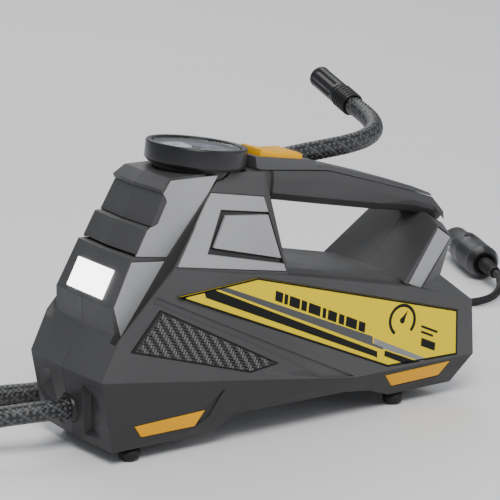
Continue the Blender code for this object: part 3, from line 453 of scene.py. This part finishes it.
def makeHose(s):
    # The braided tube on the route; the mask of strands with a painted highlight and the lift values for
    # the painted valley shade come from the same cells as its height.
    path, travelled = evenPath(s["route"], s["spacing"])
    points = tubeAlong(path, travelled, s["radius"], s["around"], braidHeight(s))
    vertices, faces = capped(points)
    hose = put("braidedHose", vertices, faces, looks["braid"], "housing", angle=80)
    angle = np.linspace(0, 2 * np.pi, s["around"], endpoint=False)[None, :]
    a = s["strands"] * angle / (2 * np.pi) + travelled[:, None] / s["pitch"] * s["strands"] * 0.5
    b = s["strands"] * angle / (2 * np.pi) - travelled[:, None] / s["pitch"] * s["strands"] * 0.5
    over = (np.floor(a) + np.floor(b)) % 2 < 1
    # Painted highlight: strands on top, and every third strand of the other family, get the lighter
    # colour.
    highlightCells = np.where(over, 1.0, np.floor(b) % 3 == 1)
    setValues(hose, "litStrand", highlightCells)
    setValues(hose, "lift", (braidHeight(s)(angle, travelled[:, None]) + 0.1) / s["lift"])
    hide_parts("air_hose")
    return hose, path, travelled[-1] * mm


hose, hosePath, hoseLength = makeHose(hoseSettings)
hoseEnd = placeOf((126.8, 84.0, 142.6), (0.09, 0.96, 0.265))


def makeHoseEnd():
    # A ribbed ferrule with a stem inside, and the fluted connector that turns on the stem.
    ribs = [(5.6, 0.2), (6.3, 0.0), (7.0, 0.5)]
    for i in range(5):
        foot = 1.1 + 2.4 * i
        ribs += [(7.0, foot), (6.15, foot + 0.35), (6.15, foot + 1.15), (7.0, foot + 1.5)]
    ribs += [(7.0, 13.1), (6.6, 13.4), (3.4, 13.4), (3.4, 36.0), (2.0, 36.0), (2.0, 9.6), (5.6, 9.6)]
    ferrule = turnedSurface("ribbedFerrule", rounded(ribs, 0.3), hoseEnd, looks["blackPlastic"],
                            "housing", closed=True)
    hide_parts("hose_ferrule")

    def fluted(radius, angle, height):
        # Six shallow flutes between z 17 and 38 mm: the radius falls with the sixth power of a cosine.
        depth = 0.85 * np.clip((height - 16) / 2, 0, 1) * np.clip((39 - height) / 2, 0, 1) * (radius > 5)
        return radius - depth * np.abs(np.cos(3 * angle)) ** 6

    outer = [(6.6, 15.2 + 0.9 * i) for i in range(28)]
    sleeve = [(3.8, 14.2), (6.0, 13.8), (6.5, 14.3), *outer, (6.6, 40.0), (5.9, 40.9), (4.6, 41.0),
              (3.8, 40.2)]
    connector = turnedSurface("screwConnector", rounded(sleeve, 0.3), hoseEnd, looks["blackPlastic"],
                              "connector", steps=96, radiusOf=fluted, closed=True)
    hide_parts("valve_connector")
    return ferrule, connector


ferrule, connector = makeHoseEnd()
print("hose made, length", round(hoseLength, 3))


# ---- power cord and plug ------------------------------------------------------------------------

cordSettings = {
    "start": [
        (112, 13, 40), (116, 13, 40), (130, 13, 40), (140, 13, 40), (146, 13.2, 39.7), (153, 15, 36),
        (157.6, 18.6, 27.6), (159, 23.5, 17.5), (156, 30, 8.6), (149, 37, 3.4), (139, 45, 2.6),
        (127, 56, 2.6), (119.6, 69, 2.6),
    ],
    "tail": [
        (174, 124, 2.6), (190, 121.2, 2.6), (205, 115.6, 2.6), (220, 108.4, 2.6), (234, 99.8, 2.7),
        (247, 98, 4.2), (257.4, 102.6, 7.2), (263.8, 109.8, 10.0), (267.5, 116, 11.3),
        (270.13, 122.53, 11.4), (272.2, 127.65, 11.4), (274.25, 132.7, 11.4), (275.4, 135.6, 11.4),
    ],
    "coilAt": (158.0, 84.0),
    "layers": 4,
    "turnsPerLayer": 3.45,
    "inner": 19.8,
    "outer": 35.0,
    "low": 2.6,
    "step": 5.03,
    "radius": 2.45,
}


def coilPoints(s):
    # Each layer winds in and the next winds out, one cord's thickness higher. The last turn comes down
    # outside.
    cx, cy = s["coilAt"]
    turns = s["layers"] * s["turnsPerLayer"]
    t = np.arange(0.0, turns, 1 / 20)
    layer = np.floor(t / s["turnsPerLayer"])
    within = t / s["turnsPerLayer"] - layer
    inward = layer % 2 < 1
    radius = np.where(inward, s["outer"] + (s["inner"] - s["outer"]) * within,
                      s["inner"] + (s["outer"] - s["inner"]) * within)
    rise = np.clip((within - 0.93) / 0.07, 0, 1)
    height = s["low"] + s["step"] * np.minimum(layer + rise * rise * (3 - 2 * rise), s["layers"] - 1)
    lead = np.clip(t / 0.5, 0, 1)
    radius = radius + (40.6 - s["outer"]) * (1 - lead) * (t < 0.5)
    whole = math.ceil(turns - 0.25) + 0.25 + (1 if math.ceil(turns - 0.25) + 0.25 - turns < 0.45 else 0)
    down = np.arange(turns, whole, 1 / 20)
    share = (down - turns) / (whole - turns)
    radius = np.concatenate([radius, radius[-1] + (40.8 - radius[-1]) * np.clip(share / 0.3, 0, 1)])
    drop = np.clip((share - 0.25) / 0.75, 0, 1)
    height = np.concatenate([height, height[-1] + (s["low"] - height[-1]) * drop * drop * (3 - 2 * drop)])
    angle = np.pi - 2 * np.pi * np.concatenate([t, down])
    return np.stack([cx + radius * np.cos(angle), cy + radius * np.sin(angle), height], -1)


def makeCord(s):
    # One plain tube from the exit, through the coil, to the plug.
    route = [*s["start"], *coilPoints(s).tolist(), *s["tail"]]
    path, travelled = evenPath(route, 1.6)
    points = tubeAlong(path, travelled, s["radius"], 14)
    vertices, faces = capped(points)
    cord = put("powerCord", vertices, faces, looks["blackRubber"], "housing", angle=80)
    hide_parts("power_cord", "cord_coil", "cord_tail")
    return cord, path, travelled[-1] * mm


powerCord, cordPath, cordLength = makeCord(cordSettings)
print("cord made, length", round(cordLength, 3))

plugSettings = {"tail": (278.0, 142.0, 11.4), "yaw": math.radians(68.0)}
plugAt = placeOf(plugSettings["tail"], (math.cos(plugSettings["yaw"]), math.sin(plugSettings["yaw"]), 0))


def makePlug():
    # Body, boot, fuse cap and tip turned about the plug's axis, two wire springs and the indicator.
    def gripped(radius, angle, height):
        # Two flats with a ribbed grip: the body narrows towards the sides between z 8 and 30 mm.
        inside = np.clip((height - 6) / 3, 0, 1) * np.clip((32 - height) / 3, 0, 1) * (radius > 8)
        ribs = 0.28 * (np.cos(2 * np.pi * height / 2.6) > 0) * inside
        return radius - inside * 0.7 * np.abs(np.sin(angle)) ** 8 - ribs * (np.abs(np.cos(angle)) > 0.75)

    side = [(11.0, 5.6 + 0.65 * i) for i in range(59)]
    profile = [(5.4, 0.0), (8.4, 0.0), *side, (10.9, 44.4), (9.3, 49.6), (9.2, 50.4), (9.2, 65.4),
               (8.8, 66.0), (4.2, 66.0), (4.2, 60.0), (7.4, 60.0), (7.4, 2.7), (5.4, 2.7)]
    body = turnedSurface("plugBody", profile, plugAt, looks["blackPlastic"], "housing", 96,
                         gripped, True)
    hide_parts("plug_body")
    boot = [(2.8, 0.0), (2.8, -22.0), (3.5, -22.0), (3.7, -21.0)]
    for i in range(6):
        foot = -19.6 + 3.1 * i
        size = 3.75 + 0.21 * i
        boot += [(size, foot), (size + 0.15, foot + 1.6), (size - 0.55, foot + 1.9),
                 (size - 0.55, foot + 2.7)]
    boot += [(5.0, -0.4), (5.0, 3.0), (7.0, 3.0), (7.0, 5.0), (2.8, 5.0)]
    relief = turnedSurface("plugBoot", boot, plugAt, looks["blackRubber"], "housing", 40,
                           closed=True)
    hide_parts("plug_strain_relief")
    cap = [(4.6, 66.3), (7.9, 66.3), (8.2, 66.7), (8.2, 68.8), (7.8, 69.6), (6.6, 72.4), (6.2, 73.0),
           (4.6, 73.0)]

    def knurled(radius, angle, height):
        # Twenty-four fine grooves round the fuse cap's rim.
        return radius - 0.22 * (np.cos(24 * angle) > 0.2) * (radius > 8.1)

    nut = turnedSurface("fuseCap", cap, plugAt, looks["platedSteel"], "housing", 144, knurled,
                        True)
    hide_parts("plug_nut")
    tipLine = [(0.0, 80.0), (1.0, 79.9), (1.9, 79.4), (3.3, 77.4), (3.6, 76.4), (3.6, 59.4), (4.7, 59.4),
               (4.7, 56.6), (0.0, 56.6)]
    tip = turnedSurface("centreTip", tipLine, plugAt, looks["platedSteel"], "plug_tip", 40)
    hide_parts("plug_tip")
    sweep = np.linspace(0, 1, 25)
    pieces = [body, relief, nut, tip]
    for sign, hand in ((-1, "left"), (1, "right")):
        out = sign * (7.6 + 4.4 * np.sin(np.pi * sweep) ** 0.8)
        bow = np.stack([out, 0 * sweep, 45.6 + 12.4 * sweep], -1)
        wire, along = evenPath(bow.tolist(), 0.5)
        points = tubeAlong(wire, along, 0.75, 10)
        vertices, faces = capped(placedAt(points, plugAt) / mm)
        spring = put(f"contactSpring.{hand}", vertices, faces, looks["platedSteel"], f"contact_{hand}")
        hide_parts(f"plug_contact_{hand}")
        pieces.append(spring)
    ring = [(2.3, 10.85), (3.3, 10.85), (3.5, 11.05), (3.3, 11.25), (2.5, 11.25), (2.3, 11.05)]
    upward = plugAt @ Matrix.Translation((0, 0, 0.036)) @ Matrix.Rotation(math.radians(-90), 4, "X")
    window = turnedSurface("indicatorRing", ring, upward, looks["blackSatin"], "housing", 40,
                           closed=True)
    dome = [(0, 11.5), (1.2, 11.4), (2.0, 11.0), (2.2, 10.6), (0, 10.6)]
    bulb = turnedSurface("indicatorLens", dome, upward, looks["gaugeGlass"], "housing", 32)
    pieces += [window, bulb]
    return pieces


plugPieces = makePlug()
print("plug made")


# ---- CAD pieces carried over --------------------------------------------------------------------

carried = {
    # node: material, bevel in mm
    "left_shell": ("charcoalShell", 0), "right_shell": ("charcoalShell", 0),
    "handle_cover": ("graphiteCover", 0.5),
    "left_tower_panel": ("silverPaint", 0.35), "right_tower_panel": ("silverPaint", 0.35),
    "left_lamp_panel": ("silverPaint", 0.35), "right_lamp_panel": ("silverPaint", 0.35),
    "left_side_panel": ("silverPaint", 0.35), "right_side_panel": ("silverPaint", 0.35),
    "left_tab_panel": ("silverPaint", 0.4), "right_tab_panel": ("silverPaint", 0.4),
    "left_leg_strip": ("silverPaint", 0.3), "right_leg_strip": ("silverPaint", 0.3),
    "left_grip_pad": ("blackRubber", 0.3), "right_grip_pad": ("blackRubber", 0.3),
    "left_label": ("labelFilm", 0.1), "right_label": ("labelFilm", 0.1),
    "front_left_insert": ("amberPlastic", 0.3), "front_right_insert": ("amberPlastic", 0.3),
    "rear_left_insert": ("amberPlastic", 0.3), "rear_right_insert": ("amberPlastic", 0.3),
    "front_left_foot": ("blackRubber", 0), "front_right_foot": ("blackRubber", 0),
    "rear_left_foot": ("blackRubber", 0), "rear_right_foot": ("blackRubber", 0),
    "lamp_lens": ("lampLens", 0.5), "lamp_board": ("boardWhite", 0.1),
    "gauge_dial": ("blackSatin", 0), "gauge_glass": ("gaugeGlass", 0),
    "gauge_movement": ("drawnBrass", 0),
    "gauge_stem": ("drawnBrass", 0), "bourdon_tube": ("drawnBrass", 0), "gauge_needle": ("printBlack", 0),
    "rocker": ("switchAmber", 0.7), "switch_body": ("blackPlastic", 0.4),
    "motor_can": ("platedSteel", 0), "motor_shaft": ("platedSteel", 0), "motor_fan": ("blackPlastic", 0),
    "gear_frame": ("platedSteel", 0), "drive_gear": ("platedSteel", 0),
    "wobble_piston": ("blackPlastic", 0),
    "cylinder": ("platedSteel", 0), "cylinder_head": ("platedSteel", 0),
    "hose_gland": ("blackPlastic", 0), "hose_clip": ("blackPlastic", 0.25),
    "cord_strain_relief": ("blackRubber", 0),
}


def carry(name, look, bevel):
    # A welded copy of a CAD node with flat faces merged, its edges rounded and its own finish.
    mesh = nodes[name].data.copy()
    form = bmesh.new()
    form.from_mesh(mesh)
    bmesh.ops.remove_doubles(form, verts=form.verts, dist=0.000005)
    if bevel:
        bmesh.ops.dissolve_limit(form, angle_limit=math.radians(1.0), verts=form.verts, edges=form.edges)
    form.to_mesh(mesh)
    form.free()
    mesh.materials.clear()
    mesh.materials.append(looks[look])
    mesh.shade_smooth()
    mesh.set_sharp_from_angle(angle=math.radians(6 if name.endswith("_shell") else 24))
    obj = bpy.data.objects.new("look_" + name, mesh)
    bpy.context.scene.collection.objects.link(obj)
    if bevel:
        mesh.set_sharp_from_angle(angle=math.radians(180))
        rounding = obj.modifiers.new("round", "BEVEL")
        rounding.width, rounding.segments = bevel * mm, 3
        rounding.limit_method, rounding.angle_limit = "ANGLE", math.radians(20)
        rounding.harden_normals = True
    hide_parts(name)
    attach(obj, nodes[name]["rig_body"])
    return obj


for nodeName, (lookName, bevelWidth) in carried.items():
    carry(nodeName, lookName, bevelWidth)
print("CAD pieces carried over:", len(carried))


# ---- side walls: tread and print ----------------------------------------------------------------

frontWall = (41.9, 0.0516, 0.0054)
labelWall = (45.2, 0.0063, -0.062)


def onWall(wall, side, x, z, out):
    # Points on a side wall's plane, half width = a + b x + c z, moved out by a distance; x and z in mm.
    x, z = np.asarray(x, float), np.asarray(z, float)
    return np.stack([x, side * (wall[0] + wall[1] * x + wall[2] * z + out), z], -1)


treadSettings = {
    "corners": [(-83.4, 79.5), (-100.2, 60.0), (-29.6, 38.4), (-13.4, 40.6)],
    "cell": 1.55,
    "height": 0.75,
    "lean": math.radians(-14),
    "spacing": 0.27,
    "border": 1.1,
}


def makeTread(s, side, hand):
    # A bilinear sheet over the pad's four corners. Its height is a two-over-two twill: each cell of a
    # turned grid holds a strand that runs one way or the other, round across its width.
    a, b, c, d = (np.array(p) for p in s["corners"])
    rows = int(40 / s["spacing"])
    columns = int(88 / s["spacing"])
    u, v = np.meshgrid(np.linspace(0, 1, columns), np.linspace(0, 1, rows), indexing="ij")
    u, v = u[..., None], v[..., None]
    flat = (a * (1 - u) + d * u) * (1 - v) + (b * (1 - u) + c * u) * v
    centre = (a + b + c + d) / 4
    flat = centre + (flat - centre) * 0.965
    x, z = flat[..., 0], flat[..., 1]
    p = (x * math.cos(s["lean"]) + z * math.sin(s["lean"])) / s["cell"]
    q = (z * math.cos(s["lean"]) - x * math.sin(s["lean"])) / s["cell"]
    across = (np.floor(p) + np.floor(q)) % 4 < 2
    height = np.where(across, np.sin(np.pi * (q % 1)), np.sin(np.pi * (p % 1))) ** 0.7
    edge = np.minimum(np.minimum(u, 1 - u)[..., 0] * 60, np.minimum(v, 1 - v)[..., 0] * 22) / s["border"]
    out = 0.42 + s["height"] * height * np.clip(edge, 0, 1) - 0.3 * (edge < 0.001)
    points = onWall(frontWall, side, x, z, out)
    faces = gridFaces(*points.shape[:2], False)
    tread = put(f"gripTread.{hand}", points.reshape(-1, 3) * mm, faces if side > 0 else faces[:, ::-1],
                looks["tread"], "housing", angle=80)
    # Painted highlight on the strokes that run one way; the lift values set the painted valley shade.
    setValues(tread, "litStrand", ~across)
    setValues(tread, "lift", height * np.clip(edge, 0, 1))
    return tread


def prism(outline, low, high, wall, side):
    # A closed prism from an outline in x and z, between two distances off a side wall.
    count = len(outline)
    x, z = np.array(outline, float).T
    near, far = onWall(wall, side, x, z, low), onWall(wall, side, x, z, high)
    ring = [[i, (i + 1) % count, count + (i + 1) % count, count + i] for i in range(count)]
    return np.vstack([near, far]), [*ring, list(range(count))[::-1], list(range(count, 2 * count))]


def frameStrip(outline, width):
    # Quads round an outline, this wide, inside it.
    line = [Vector(p) for p in outline]
    area = sum(a.x * b.y - b.x * a.y for a, b in zip(line, line[1:] + line[:1]))
    turn = 1 if area > 0 else -1
    inside = []
    for i, corner in enumerate(line):
        before = (corner - line[i - 1]).normalized()
        after = (line[(i + 1) % len(line)] - corner).normalized()
        a, b = Vector((before.y, -before.x)) * turn, Vector((after.y, -after.x)) * turn
        middle = (a + b).normalized()
        inside.append(corner - middle * width / middle.dot(a))
    count = len(line)
    around = [(i, (i + 1) % count) for i in range(count)]
    return [[tuple(line[i]), tuple(line[k]), tuple(inside[k]), tuple(inside[i])] for i, k in around]


def arcStrip(x, z, inner, outer, start, end, steps):
    # Quads of a flat ring's sector, in degrees.
    turns = np.radians(np.linspace(start, end, steps + 1))
    ring = [[(x + r * math.cos(t), z + r * math.sin(t)) for t in turns] for r in (inner, outer)]
    return [[ring[0][i], ring[0][i + 1], ring[1][i + 1], ring[1][i]] for i in range(steps)]


def slanted(x, z, width, height, slope=-0.463, lean=0.16):
    # A bar whose ends stand upright and whose top and bottom follow the slope.
    shift, drop = height * lean, width * slope
    end = x + width
    return [(x, z), (end, z + drop), (end + shift, z + drop + height), (x + shift, z + height)]


labelOutline = [(-73.8, 85.2), (-24.6, 88.2), (105.6, 51.2), (104.6, 26.4), (57.2, 27.4)]
marks = [slanted(x, z, w, 5.2) for x, z, w in (
    (-14.6, 74.8, 4.6), (-9.0, 72.2, 2.2), (-5.8, 70.7, 6.4), (1.6, 67.3, 3.4), (6.2, 65.2, 7.4),
    (15.0, 61.1, 2.2), (18.4, 59.5, 5.6), (25.4, 56.3, 3.4), (30.0, 54.2, 7.0), (38.2, 50.4, 4.2))]
markTurn = math.radians(52)
printLayers = {
    "printBlack": [
        *frameStrip(labelOutline, 0.95),
        [(-58.0, 86.0), (-51.6, 85.9), (50.4, 36.9), (50.3, 33.2), (48.7, 34.3), (-56.9, 82.6)],
        [(55.5, 36.6), (77.9, 26.6), (69.3, 26.7), (55.0, 33.6)],
        [(-74.6, 85.4), (-68.0, 85.4), (-70.0, 82.9)],
        *marks,
        *arcStrip(67.8, 51.2, 7.4, 9.2, -50, 230, 24),
        [(67.8 + r * math.cos(t), 51.2 + r * math.sin(t))
         for r, t in ((1.4, markTurn - 1.2), (6.4, markTurn), (1.4, markTurn + 1.2))],
        *arcStrip(67.8, 51.2, 0.0, 1.7, 0, 360, 16),
        slanted(80.4, 45.4, 11.0, 1.3), slanted(80.2, 42.4, 8.0, 1.3), slanted(79.8, 35.2, 9.4, 4.4),
    ],
    "printGrey": [
        [(-49.4, 85.9), (-43.6, 85.9), (47.7, 45.6), (47.6, 41.9), (54.5, 38.3), (54.4, 37.1),
         (-47.4, 85.0)],
    ],
    "printSilver": [[(48.5, 44.6), (84.4, 27.0), (79.6, 26.6), (54.9, 37.6), (48.6, 41.3)]],
}


tabGroove = {
    "outline": [(-38.9, 123.5), (-9.1, 118.1), (-4.9, 92.4), (-52.2, 104.1)],
    "wall": (68.5, -0.0673, -0.356),
}


def makeGrooveShade(s, side, hand):
    # A thin dark sheet on the floor of the groove round the tab: painted shade that stands in for the
    # groove's deep shadow.
    points, sides = prism(s["outline"], -1.68, -1.56, s["wall"], side)
    faces = [face[::-1] for face in sides] if side > 0 else sides
    put(f"grooveShade.{hand}", points * mm, faces, looks["blackPlastic"], "housing",
        smooth=False)


def makePrints(side, hand):
    # Thin raised prisms, one object a colour; each colour stands a little above the next.
    for number, (look, outlines) in enumerate(printLayers.items()):
        vertices, faces = [], []
        for outline in outlines:
            points, sides = prism(outline, 0.15, 0.24 + 0.015 * (2 - number), labelWall, side)
            if side > 0:
                sides = [face[::-1] for face in sides]
            faces += [[len(vertices) + i for i in face] for face in sides]
            vertices += points.tolist()
        obj = put(f"{look}.{hand}", np.array(vertices) * mm, faces, looks[look], "housing",
                  smooth=False)
        weld(obj, 0.0000005)


for wallSide, wallHand in ((-1, "left"), (1, "right")):
    makeTread(treadSettings, wallSide, wallHand)
    makePrints(wallSide, wallHand)
    makeGrooveShade(tabGroove, wallSide, wallHand)
print("tread and print made")


# ---- gauge --------------------------------------------------------------------------------------

gaugeSettings = {"at": (-36.1, 0.0, 154.2), "tilt": math.radians(8.0), "face": -3.8}
gaugeLean = gaugeSettings["tilt"]
gaugeAt = placeOf(gaugeSettings["at"], (math.sin(gaugeLean), 0, math.cos(gaugeLean)))


def makeBezel():
    # The gauge's case, turned from its section with small rounded corners.
    case = [(3.0, -14.2), (18.6, -14.2), (18.6, -5.0), (23.3, -5.0), (23.3, -1.2), (24.2, -0.1),
            (26.3, 0.0), (26.9, -0.7), (26.9, -9.6), (25.0, -11.4), (21.4, -11.8), (21.4, -17.0),
            (3.0, -17.0), (3.0, -14.2)]
    bezel = turnedSurface("gaugeBezel", rounded(case, 0.45), gaugeAt, looks["blackSatin"], "housing",
                          128)
    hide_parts("gauge_case")


def dialLook():
    # White on the front half of the dial and navy on the rear, with a red-brown line round its rim. The
    # halves come from the place along the dial's own X, the line from the distance to the axis.
    material, tree, shader = newMaterial("dialPrint")
    place = node(tree, "ShaderNodeTexCoord").outputs["Object"]
    centre = gaugeAt.translation
    forward = Vector((math.cos(gaugeLean), 0, -math.sin(gaugeLean)))
    distance = node(tree, "ShaderNodeVectorMath", {0: place, 1: tuple(centre)}, operation="DISTANCE")
    reach = node(tree, "ShaderNodeVectorMath", {0: place, 1: tuple(forward)}, operation="DOT_PRODUCT")
    away, along = distance.outputs["Value"], reach.outputs["Value"]
    middle = centre.dot(forward) + 0.003
    fine = grain(tree, 900, 2)
    white = mixColour(tree, fine, (0.86, 0.86, 0.84), (0.92, 0.92, 0.90))
    navy = mixColour(tree, fine, (0.004, 0.007, 0.024), (0.008, 0.014, 0.044))
    halves = mixColour(tree, span(tree, along, middle, middle + 0.0001, 0, 1), white, navy)
    lined = mixColour(tree, span(tree, away, 0.0212, 0.0213, 0, 1), halves, (0.30, 0.06, 0.03))
    full = mixColour(tree, span(tree, away, 0.0219, 0.0220, 0, 1), lined, (0.01, 0.01, 0.011))
    tree.links.new(full, shader.inputs["Base Color"])
    tree.links.new(span(tree, grain(tree, 300, 3), 0.3, 0.7, 0.35, 0.5), shader.inputs["Roughness"])
    return material


def makeDial(s):
    # The face, 51 ticks over 270 degrees with every fifth longer, and six numbers.
    face = s["face"]
    disc = [(1.4, face), (22.8, face), (22.8, face - 0.05), (1.4, face - 0.05)]
    turnedSurface("dialFace", disc, gaugeAt, dialLook(), "housing", 96, closed=True)
    tickSets = (("dialTicks.front", "printBlack", False), ("dialTicks.rear", "paleBlue", True))
    for name, look, wanted in tickSets:
        vertices, faces = [], []
        for i in range(51):
            turn = math.radians(225 - 270 * i / 50) - math.pi / 2
            if (math.cos(turn) * 18 > 3) != wanted:
                continue
            inner, half = (16.6, 0.32) if i % 5 == 0 else (18.2, 0.15)
            along = np.array([math.cos(turn), math.sin(turn), 0])
            across = np.array([-along[1], along[0], 0])
            base = len(vertices)
            for top in (face + 0.02, face + 0.10):
                for r, w in ((inner, -half), (20.4, -half), (20.4, half), (inner, half)):
                    vertices.append(along * r + across * w + np.array([0, 0, top]))
            faces += [[base + 3, base + 2, base + 1, base], [base + 4, base + 5, base + 6, base + 7],
                      [base, base + 1, base + 5, base + 4], [base + 1, base + 2, base + 6, base + 5],
                      [base + 2, base + 3, base + 7, base + 6], [base + 3, base, base + 4, base + 7]]
        put(name, placedAt(vertices, gaugeAt), faces, looks[look], "housing", smooth=False)
    for i in range(6):
        turn = math.radians(225 - 270 * i / 5) - math.pi / 2
        spot = Vector((12.6 * math.cos(turn), 12.6 * math.sin(turn), face + 0.08)) * mm
        look = looks["paleBlue" if spot.x > 0.003 else "printBlack"]
        makeNumber(f"dialNumber.{i}", str(30 * i), gaugeAt @ Matrix.Translation(spot), look)


def makeNumber(name, words, place, look):
    # A number as a flat mesh, read from the rear of the gauge.
    text = bpy.data.curves.new(name, "FONT")
    text.body = words
    text.size, text.extrude = 4.2 * mm, 0.04 * mm
    text.align_x, text.align_y = "CENTER", "CENTER"
    helper = bpy.data.objects.new(name, text)
    bpy.context.scene.collection.objects.link(helper)
    bpy.context.view_layer.update()
    mesh = bpy.data.meshes.new_from_object(helper.evaluated_get(bpy.context.evaluated_depsgraph_get()))
    bpy.data.objects.remove(helper)
    mesh.transform(place @ Matrix.Rotation(math.radians(-90), 4, "Z"))
    mesh.materials.clear()
    mesh.materials.append(look)
    number = bpy.data.objects.new(name, mesh)
    bpy.context.scene.collection.objects.link(number)
    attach(number, "housing")


makeBezel()
makeDial(gaugeSettings)
print("gauge made")


# ---- floor and light ----------------------------------------------------------------------------

def makeFloor():
    # A pale plane under everything, kept out of the object.
    mesh = bpy.data.meshes.new("floor")
    mesh.from_pydata([(-6, -6, 0), (6, -6, 0), (6, 6, 0), (-6, 6, 0)], [], [(0, 1, 2, 3)])
    material, tree, shader = newMaterial("paleFloor")
    tree.links.new(mixColour(tree, grain(tree, 3, 3), (0.88, 0.88, 0.89), (0.94, 0.94, 0.95)),
                   shader.inputs["Base Color"])
    shader.inputs["Roughness"].default_value = 0.7
    mesh.materials.append(material)
    floor = bpy.data.objects.new("floor", mesh)
    bpy.context.scene.collection.objects.link(floor)


lights = {
    # name: position, size in m, watts
    "keyLight": ((-0.7, -1.3, 1.9), 1.0, 42.0),
    "fillLight": ((1.5, -1.4, 0.9), 1.6, 9.0),
    "backLight": ((0.6, 1.6, 1.5), 1.4, 16.0),
}


def makeLights():
    # Three soft area lights aimed at the object's middle, and a pale world.
    for name, (place, size, power) in lights.items():
        data = bpy.data.lights.new(name, "AREA")
        data.size, data.energy = size, power
        lamp = bpy.data.objects.new(name, data)
        lamp.location = place
        lamp.rotation_euler = (Vector(place) - Vector((0, 0, 0.07))).to_track_quat("Z", "Y").to_euler()
        bpy.context.scene.collection.objects.link(lamp)
    world = bpy.data.worlds.new("studio")
    bpy.context.scene.world = world
    world.use_nodes = True
    world.node_tree.nodes["Background"].inputs["Color"].default_value = (0.92, 0.95, 1.0, 1.0)
    world.node_tree.nodes["Background"].inputs["Strength"].default_value = 0.40


makeFloor()
makeLights()
print("stage set")
